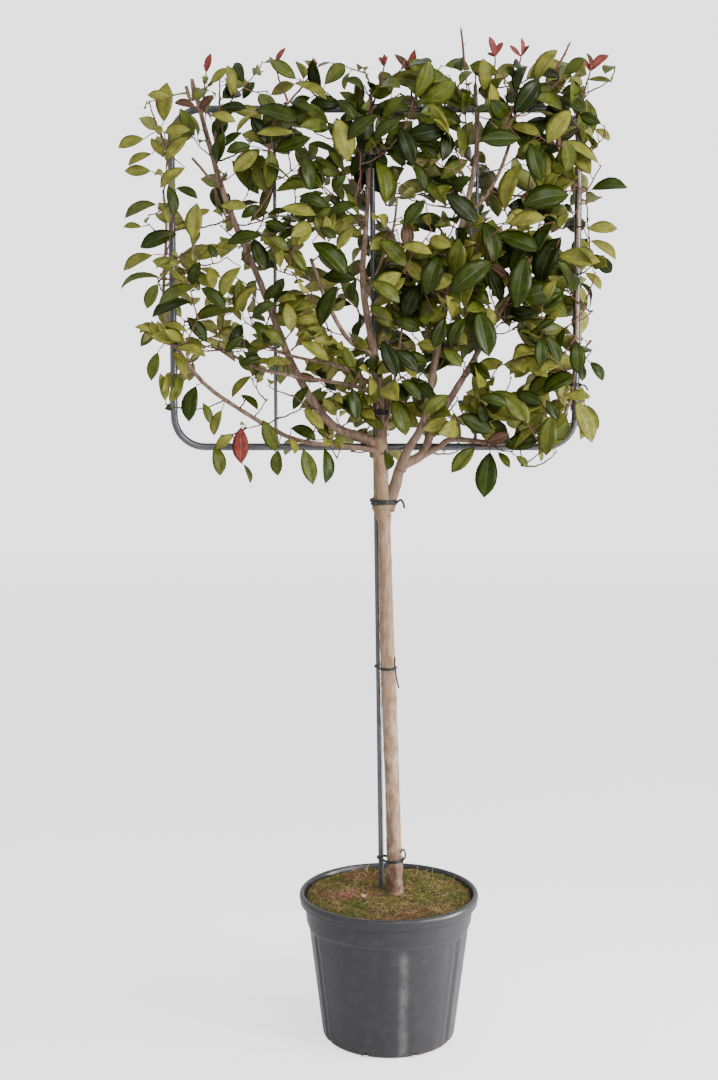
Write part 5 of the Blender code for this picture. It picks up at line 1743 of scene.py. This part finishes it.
# The largest leaves at the front of the crown, given the same way
LEAVES_IN_FRONT = {
    "top left": (
        (171, 97, 147, 95, 25, "fresh"), (164, 133, 190, 130, 35, "fresh"),
        (188, 137, 165, 160, 30, "fresh"), (199, 110, 214, 95, 25, "bronze"),
        (196, 108, 174, 103, 35, "bronze"), (212, 114, 236, 122, 20, "fresh"),
    ),
    "left": (
        (185, 168, 160, 188, 40, "fresh"), (168, 186, 174, 216, 25, "dark"),
        (176, 188, 198, 199, 40, "dark"), (197, 203, 193, 240, 15, "fresh"),
        (220, 206, 248, 207, 45, "fresh"), (208, 245, 217, 258, 10, "dark"),
        (262, 235, 227, 244, 40, "dark"), (253, 238, 265, 271, 20, "dark"), (264, 222, 287, 232, 35, "dark"),
        (261, 206, 241, 218, 15, "dark"), (281, 208, 316, 215, 45, "fresh"),
        (200, 262, 191, 286, 20, "dark"), (241, 267, 221, 299, 40, "fresh"),
        (257, 287, 236, 313, 45, "fresh"), (201, 288, 225, 311, 30, "dark"), (197, 286, 158, 305, 55, "mid"),
        (191, 303, 152, 318, 50, "dark"), (187, 317, 207, 342, 20, "dark"), (233, 312, 194, 321, 50, "mid"),
        (254, 321, 267, 347, 25, "dark"), (264, 300, 281, 284, 10, "dark"), (276, 303, 252, 316, 25, "dark"),
        (244, 336, 225, 353, 30, "dark"), (262, 358, 240, 366, 25, "dark"),
        (173, 351, 186, 378, 30, "fresh"), (176, 349, 206, 357, 45, "fresh"),
    ),
    "inner": (
        (255, 110, 297, 121, 45, "dark"), (294, 133, 256, 134, 50, "fresh"),
        (258, 151, 233, 172, 15, "fresh"), (251, 146, 226, 152, 20, "dark"),
        (337, 118, 348, 162, 15, "fresh"), (337, 100, 357, 121, 20, "dark"),
        (303, 157, 310, 191, 20, "dark"), (299, 196, 327, 207, 25, "dark"), (333, 192, 346, 175, 20, "dark"),
        (357, 205, 329, 214, 35, "dark"), (320, 228, 337, 238, 5, "dark"), (353, 228, 337, 250, 30, "fresh"),
        (312, 243, 347, 277, 30, "dark"), (286, 302, 291, 332, 20, "fresh"),
        (337, 286, 321, 327, 40, "dark"), (300, 341, 329, 361, 35, "fresh"),
        (352, 388, 356, 421, 20, "dark"), (284, 348, 262, 330, 30, "mid"),
    ),
    "centre": (
        (378, 115, 347, 140, 30, "dark"), (400, 127, 414, 166, 5, "deep"), (373, 141, 401, 120, 30, "dark"),
        (376, 159, 385, 205, 35, "mid"), (415, 163, 425, 191, 30, "dark"), (419, 145, 438, 159, 20, "dark"),
        (468, 160, 440, 179, 15, "mid"), (446, 194, 477, 223, 20, "deep"), (425, 200, 404, 226, 25, "dark"),
        (406, 221, 407, 249, 15, "bronze"), (380, 240, 406, 267, 25, "mid"),
        (401, 247, 432, 254, 40, "fresh"), (440, 254, 426, 296, 10, "dark"),
        (492, 261, 450, 293, 10, "dark"), (420, 284, 404, 320, 20, "deep"), (371, 282, 400, 303, 20, "mid"),
        (370, 305, 393, 328, 15, "mid"), (394, 320, 421, 331, 15, "dark"), (445, 317, 434, 349, 10, "dark"),
        (465, 318, 451, 348, 25, "dark"), (478, 310, 489, 357, 10, "dark"), (443, 349, 462, 367, 15, "mid"),
        (382, 341, 397, 377, 5, "deep"), (395, 350, 418, 372, 25, "deep"), (393, 398, 406, 436, 20, "mid"),
        (401, 380, 421, 401, 30, "dark"), (448, 395, 423, 414, 10, "mid"),
    ),
    "right": (
        (520, 139, 480, 140, 20, "dark"), (509, 127, 541, 137, 45, "fresh"),
        (570, 110, 547, 144, 15, "fresh"), (530, 143, 541, 182, 5, "dark"), (569, 195, 522, 205, 20, "dark"),
        (521, 164, 505, 211, 35, "fresh"), (497, 234, 541, 251, 25, "dark"),
        (553, 222, 534, 257, 40, "dark"), (561, 237, 540, 286, 30, "deep"), (484, 222, 495, 263, 15, "dark"),
        (525, 256, 517, 309, 10, "dark"), (488, 267, 501, 303, 40, "deep"), (540, 338, 540, 368, 10, "dark"),
        (546, 335, 560, 363, 25, "dark"), (536, 332, 556, 320, 35, "dark"), (565, 328, 560, 350, 45, "dark"),
        (576, 341, 578, 374, 5, "dark"), (575, 375, 543, 393, 30, "dark"), (546, 400, 558, 421, 15, "dark"),
        (552, 416, 546, 456, 15, "mid"), (460, 415, 493, 433, 20, "dark"), (479, 398, 507, 406, 30, "dark"),
        (478, 403, 485, 425, 15, "dark"), (486, 443, 510, 434, 15, "bronze"),
        (576, 401, 592, 443, 30, "fresh"), (580, 404, 598, 430, 55, "mid"),
    ),
}
ALONE_DEPTHS = (-0.070, 0.020)
FRONT_DEPTHS = (-0.125, -0.040)
ALONE_CLEAR_PX = 6.0
MOST_OVER_NAMED = 0.10
BACKED_BY_LEAVES = ("main bough", "top")
NAMED_CLEAR_WOOD = 0.003
NAMED_CLEAR_LEAF = 0.004
NAMED_SLIMNESS = 1.04
TIP_FORWARD = 0.006
rng = random.Random(61)
placed = 0
alone_seen = []
alone_depths = []
named = [(row, ALONE_DEPTHS, region not in BACKED_BY_LEAVES)
         for region, rows in LEAVES_ALONE.items() for row in rows]
named += [(row, FRONT_DEPTHS, False) for rows in LEAVES_IN_FRONT.values() for row in rows]
for (*ends_px, turned, kind), depths, open_behind in named:
    for attempt in range(20):
        y = rng.uniform(*depths)
        root = from_photo(*ends_px[:2], y)
        tip = from_photo(*ends_px[2:], y - TIP_FORWARD)
        leaf = leaf_between(root, tip, turned, rng, NAMED_SLIMNESS)
        places = leaf.samples()
        inside = (places > CAD_LOW).all() and (places < CAD_HIGH).all()
        if not (inside and wood.free(places, NAMED_CLEAR_WOOD)
                and blades.free(places, NAMED_CLEAR_LEAF)):
            continue
        if spur_to(root, skip_free=attempt > 8) is None:
            continue
        keep_leaf(leaf, kind, ON_A_BOUGH)
        alone_seen.append(in_photo(places))
        alone_depths.append(np.full(len(places), math.inf if open_behind else y))
        placed += 1
        break
    else:
        print("no room for the leaf at", ends_px)
ALONE_SEEN = np.concatenate(alone_seen)
ALONE_Y = np.concatenate(alone_depths)
print("leaves by name:", placed, "of", len(named))

# %% [markdown]
# The crown: red tips.
# The newest shoots stand above the crown's top edge, each a thin red stem with one to three small
# upright leaves of clear red or bronze. Their places are read from the photograph, and each stem
# starts on the nearest wood below. Two twigs end bare.

# %% Crown: red tips and bare tips
# The node, and each leaf's tip and age, in the photograph's pixels
RED_TIPS = {
    "far left": ((206, 73), ((211, 53, "red"), (203, 64, "red"))),
    "left": ((275, 66), ((286, 47, "red"), (269, 56, "red"))),
    "inner": ((314, 70), ((312, 57, "red"), (318, 62, "red"))),
    "middle": ((384, 67), ((379, 57, "red"), (388, 56, "red"), (384, 54, "bronze"))),
    "centre": ((411, 77), ((415, 49, "red"), (394, 54, "bronze"))),
    "right, first": ((495, 57), ((489, 36, "red"), (503, 42, "red"), (487, 53, "red"))),
    "right, second": ((521, 57), ((521, 37, "red"), (509, 45, "red"), (530, 45, "bronze"))),
    "far right": ((590, 72), ((577, 57, "red"), (586, 53, "bronze"), (609, 55, "red"))),
}
# Foot and end of the two bare shoots, in the photograph's pixels
BARE_TIPS = {"tall": ((464, 62), (461, 29)), "slanting": ((556, 70), (570, 43))}
TIP_DROP = 0.085
TIP_SAG = 0.12
RED_STEM_RADIUS = 0.0017
# Share of a bud's length, and of its radius
BUD_RINGS = ((0.15, 0.75), (0.40, 1.0), (0.70, 0.6))
rng = random.Random(77)
buds = Heap()


def bud(place, way, length, radius):
    """A pointed bud: rings between two points."""
    way = unit(way)
    across = unit(np.cross(way, (0.3, 0.9, 0.2)))
    beside = np.cross(way, across)
    rings = [ring_round(place + way * length * share, across, beside, radius * width, 6)
             for share, width in BUD_RINGS]
    buds.add(*pointed_rings(place - way * 0.2 * length, rings, place + way * length))


for node_px, leaf_tips in RED_TIPS.values():
    y = rng.uniform(-0.03, 0.02)
    node = from_photo(*node_px, y)
    path = spur_to(node, TIP_DROP, TIP_SAG, True, RED_STEM_RADIUS)
    for across_px, down_px, kind in leaf_tips:
        tip = from_photo(across_px, down_px, y + rng.uniform(-0.012, 0.012))
        leaf = leaf_between(node, tip, rng.uniform(15.0, 50.0), rng, 0.78)
        keep_leaf(leaf, kind, ON_A_BOUGH)
    bud(node, path[-1] - path[-2], 0.009, 0.0020)
for foot_px, end_px in BARE_TIPS.values():
    y = rng.uniform(-0.02, 0.02)
    foot = from_photo(*foot_px, y)
    end = from_photo(*end_px, y)
    path = spur_to(foot, TIP_DROP, TIP_SAG, True)
    line = curve_through([path[-2], foot, (foot + end) / 2 + (0.0008, 0.0, 0.0), end], 0.008)
    young.add(*tube(line, np.linspace(0.0032, 0.0021, len(line)), 6))
    bud(end, line[-1] - line[-2], 0.006, 0.0013)
    bud(line[len(line) // 2], (0.8, -0.3, 0.5), 0.011, 0.0010)
    bud(line[-2], (-0.7, -0.2, 0.6), 0.006, 0.0011)
print("red tips:", len(RED_TIPS), "bare tips:", len(BARE_TIPS))

# %% Crown: hang the leaves
PETIOLE = (0.007, 0.013)
LEAF_LENGTHS = {
    "left": (0.046, 0.066, 0.094), "inner": (0.050, 0.075, 0.102),
    "centre": (0.056, 0.085, 0.114), "right": (0.056, 0.085, 0.114),
}
LEAF_CLEAR_WOOD = 0.0045
LEAF_CLEAR_LEAF = 0.0050
WHORL = 3
WHORL_STEP = 0.0045
SIDE_EDGES_PX = (119, 618)
TOP_EDGE_PX = 76
TOP_LIMIT_PX = 56
TOP_EDGE_SHARE = 0.22
GOLDEN_TURN = 2.4
HANG = {"low": 0.75, "mid": 0.50, "high": 0.28}
leaf_count = dict.fromkeys(CROWN_PARTS, 0)


def within_edges(seen, rng):
    """True for a leaf that the crown's own edges enclose. A few may stand above the top edge."""
    if seen[:, 0].min() < SIDE_EDGES_PX[0] or seen[:, 0].max() > SIDE_EDGES_PX[1]:
        return False
    highest = seen[:, 1].min()
    return highest > TOP_EDGE_PX or (highest > TOP_LIMIT_PX and rng.random() < TOP_EDGE_SHARE)


def hides_named_leaf(places, seen):
    """True when a leaf would be seen over a named one, or beside one that the open surrounds."""
    far = np.linalg.norm(seen[:, None] - ALONE_SEEN[None], axis=2)
    over = (far < ALONE_CLEAR_PX) & (places[:, 1, None] < ALONE_Y[None])
    return float(np.mean(over.any(axis=1))) > MOST_OVER_NAMED


def hang_leaf(node, way, bearing, spread, owner, label, kind, rng, low, high, length):
    """One leaf on a twig's joint. It's tried at a few bearings, and left out if none is free."""
    side, level = label.split("_")
    across = unit(np.cross(way, (0.2, 0.9, 0.1)))
    beside = np.cross(way, across)
    for attempt in range(8):
        out = across * math.cos(bearing) + beside * math.sin(bearing)
        axis = unit(way * math.cos(spread) + out * math.sin(spread))
        stalk = unit(0.6 * way + 0.8 * out) * rng.uniform(*PETIOLE)
        root = node + stalk
        hang = HANG[level] * rng.uniform(0.3, 1.5)
        axis = unit(axis - np.array((0.0, 0.0, hang)))
        facing = -1.0 if (root[1] < 0.02 or rng.random() < 0.35) else 1.0
        light = unit((rng.uniform(-0.7, 0.7), rng.uniform(0.55, 1.0) * facing,
                      rng.uniform(-0.2, 0.8)))
        if abs(float(np.dot(light, axis))) > 0.93:
            light = unit((0.3, 0.4 * facing, 1.0))
        leaf = Leaf(root, axis, light, length, rng, LEAF_SLIMNESS[side])
        places = leaf.samples()
        seen = in_photo(places)
        if ((places > low).all() and (places < high).all()
                and within_edges(seen, rng)
                and not hides_named_leaf(places, seen)
                and not hides_bare_wood(places, seen)
                and share_in_openings(seen) < MOST_IN_OPENINGS
                and wood.free(places, LEAF_CLEAR_WOOD, owner)
                and blades.free(places, LEAF_CLEAR_LEAF)):
            keep_leaf(leaf, kind, owner)
            middle = node + stalk * 0.55 + out * 0.0008
            line = [node, middle, root + unit(leaf.start) * 0.0015]
            petioles.add(*tube(line, [0.0010, 0.0009, 0.0008], 4))
            leaf_count[label] += 1
            return True
        bearing += 1.35
        length *= 0.94
    return False


reaches = {mass.removeprefix("foliage_"): mass_reach(mass) for mass in MASS_NAMES}
for owner, (path, radii, label) in enumerate(twigs):
    rng = random.Random(1000 + owner)
    low, high = reaches[label]
    side = label.split("_")[0]
    most_leaves, in_leaf, _ = CROWN_PARTS[label]
    shares = age_shares(label)
    spray = rng.choices(AGES, shares)[0]
    if path[-1][2] > NEW_GROWTH_ABOVE and spray in ("deep", "dark") and rng.random() < 0.55:
        spray = rng.choice(("mid", "fresh"))
    run = lengths_along(path)
    ways = np.gradient(path, axis=0)
    joints = [(run[-1] - WHORL_STEP * step, rng.uniform(0.30, 0.85)) for step in range(WHORL)]
    along = run[-1] - 0.020
    first = max(0.022, 0.20 * run[-1])
    while along > first:
        joints.append((along, rng.uniform(0.75, 1.30)))
        along -= rng.uniform(0.011, 0.019)
    bearing = rng.uniform(0.0, math.tau)
    for along, spread in joints:
        if leaf_count[label] >= most_leaves:
            break
        if rng.random() > in_leaf:
            bearing += GOLDEN_TURN
            continue
        spot = int(np.searchsorted(run, along))
        spot = min(max(spot, 1), len(run) - 1)
        share = (along - run[spot - 1]) / max(run[spot] - run[spot - 1], 1e-9)
        node = path[spot - 1] + (path[spot] - path[spot - 1]) * share
        kind = spray if rng.random() < 0.8 else rng.choices(AGES, shares)[0]
        shortest, usual, longest = LEAF_LENGTHS[side]
        length = rng.triangular(shortest, longest, usual)
        if kind == "red":
            length *= 0.7
        if hang_leaf(node, unit(ways[spot]), bearing, spread, owner, label, kind, rng, low, high,
                     length):
            carried_to[owner] = max(carried_to[owner], along)
        bearing += GOLDEN_TURN + rng.uniform(-0.3, 0.3)
print("leaves:", leaf_count, "in all", sum(leaf_count.values()))

# %% [markdown]
# The crown: cut the twigs back.
# A shoot that found no room for its leaves would stand bare, which a tended plant doesn't show.
# So each twig is cut back to the last leaf or side shoot that it carries, and one that carries
# nothing is left out. Side shoots have higher numbers than their carriers, so going through them
# backwards passes every need down to the boughs.

# %% Crown: make the twigs, petioles, buds and leaves
twig_bark = bark_finish("twig_bark", (0.170, 0.090, 0.062), (0.075, 0.036, 0.026),
                        (0.23, 0.14, 0.10))
young_bark = bark_finish("young_bark", (0.205, 0.075, 0.050), (0.095, 0.034, 0.024),
                         (0.26, 0.13, 0.09))

RED_SHOOT_SHARE = 0.40
BEYOND_LAST = 0.003
old_twigs = Heap()
kept = 0
for owner in reversed(range(len(twigs))):
    path, radii, label = twigs[owner]
    carrier, spot = carriers[owner]
    if carried_to[owner] == 0.0:
        continue
    if carrier != ON_A_BOUGH:
        carried_to[carrier] = max(carried_to[carrier], spot)
    run = lengths_along(path)
    end = min(run[-1], carried_to[owner] + BEYOND_LAST)
    runs = np.append(run[run < end - 0.001], end)
    line = np.stack([np.interp(runs, run, path[:, axis]) for axis in range(3)], axis=1)
    rng = random.Random(3000 + owner)
    heap = young if rng.random() < RED_SHOOT_SHARE else old_twigs
    heap.add(*tube(line, np.interp(runs, run, radii), 6))
    if end == run[-1]:
        bud(line[-1], line[-1] - line[-2], rng.uniform(0.005, 0.009),
            rng.uniform(0.0012, 0.0017))
    kept += 1
print("twigs kept:", kept, "of", len(twigs))
crown = {"twigs": (old_twigs, [twig_bark]), "young_shoots": (young, [young_bark]),
         "petioles": (petioles, [young_bark]), "buds": (buds, [young_bark])}
crown |= {"leaves_" + kind: (leaf_heaps[kind], leaf_finishes[kind]) for kind in AGES}
for name, (heap, finishes) in crown.items():
    make_piece("crown_" + name, heap, finishes, MASS_NAMES)

# %% [markdown]
# Floor and light.
# The plant stands on a plain pale floor. A square of floor would show its far edge as a line
# behind the crown, so the floor is a wide disc that fades out into the pale surround. Floor and
# surround look brighter to the camera than they shine on the plant, as an overlit studio does.
# A tall panel at the right gives leaves and pot their sheen, a large one at the front fills, and a
# small one with a narrow beam lights the pot's right side from low down.

# %% Floor
FLOOR_RADIUS = 13.0
FLOOR_SIDES = 96
FADE_FROM = 4.5
FLOOR_GLOW = 1.35

floor_finish, tree, sockets = new_finish("studio_floor", (0.76, 0.76, 0.765), 0.9)
place = place_of(tree)
tint = mottled(tree, place, 1.2, 0.2, 0.8)
tree.links.new(blend_colour(tree, tint, (0.75, 0.75, 0.757), (0.77, 0.77, 0.775)),
               sockets["Base Color"])
far = add_node(tree, "ShaderNodeVectorMath", {"operation": "LENGTH"}, _0=place).outputs["Value"]
tree.links.new(between(tree, far, FADE_FROM, FLOOR_RADIUS, 1.0, 0.0), sockets["Alpha"])
sockets["Emission Color"].default_value = (1.0, 1.0, 0.995, 1.0)
camera_ray = add_node(tree, "ShaderNodeLightPath").outputs["Is Camera Ray"]
tree.links.new(multiply(tree, camera_ray, FLOOR_GLOW), sockets["Emission Strength"])
rim = [(FLOOR_RADIUS * math.cos(math.tau * side / FLOOR_SIDES),
        FLOOR_RADIUS * math.sin(math.tau * side / FLOOR_SIDES), 0.0) for side in range(FLOOR_SIDES)]
floor_mesh = bpy.data.meshes.new("studio_floor")
floor_mesh.from_pydata(rim, [], [tuple(range(FLOOR_SIDES))])
floor_mesh.materials.append(floor_finish)
floor = bpy.data.objects.new("studio_floor", floor_mesh)
bpy.context.scene.collection.objects.link(floor)
floor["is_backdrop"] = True


# %% Light
def panel(name, place, target, size, power, tint, spread_deg=180.0):
    """A soft light that faces a point, with its width and height."""
    data = bpy.data.lights.new(name, "AREA")
    data.shape = "RECTANGLE"
    data.size, data.size_y = size
    data.energy = power
    data.color = tint
    data.spread = math.radians(spread_deg)
    light = bpy.data.objects.new(name, data)
    light.location = place
    light.rotation_euler = (Vector(target) - Vector(place)).to_track_quat("-Z", "Y").to_euler()
    bpy.context.scene.collection.objects.link(light)


SURROUND = (0.80, 0.80, 0.815, 1.0)
SURROUND_LIGHT = 1.22
SURROUND_SEEN = 3.1
panel("side_panel", (2.7, -0.35, 0.45), (0.0, 0.0, 0.20), (0.8, 0.8), 13.0, (1.0, 0.99, 0.97), 50.0)
panel("right_panel", (2.7, -1.9, 1.9), (0.0, 0.0, 1.0), (0.7, 1.9), 120.0, (1.0, 0.99, 0.97))
panel("front_panel", (0.9, -3.4, 3.3), (0.0, 0.0, 1.4), (1.6, 1.6), 70.0, (1.0, 0.99, 0.98))
world = bpy.data.worlds.new("pale_studio")
world.use_nodes = True
tree = world.node_tree
surround = tree.nodes["Background"]
surround.inputs["Color"].default_value = SURROUND
camera_ray = add_node(tree, "ShaderNodeLightPath").outputs["Is Camera Ray"]
tree.links.new(between(tree, camera_ray, 0.0, 1.0, SURROUND_LIGHT, SURROUND_SEEN),
               surround.inputs["Strength"])
bpy.context.scene.world = world

# %% The size of what is drawn
low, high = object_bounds()
print("visual box", np.array(low).round(3), np.array(high).round(3))
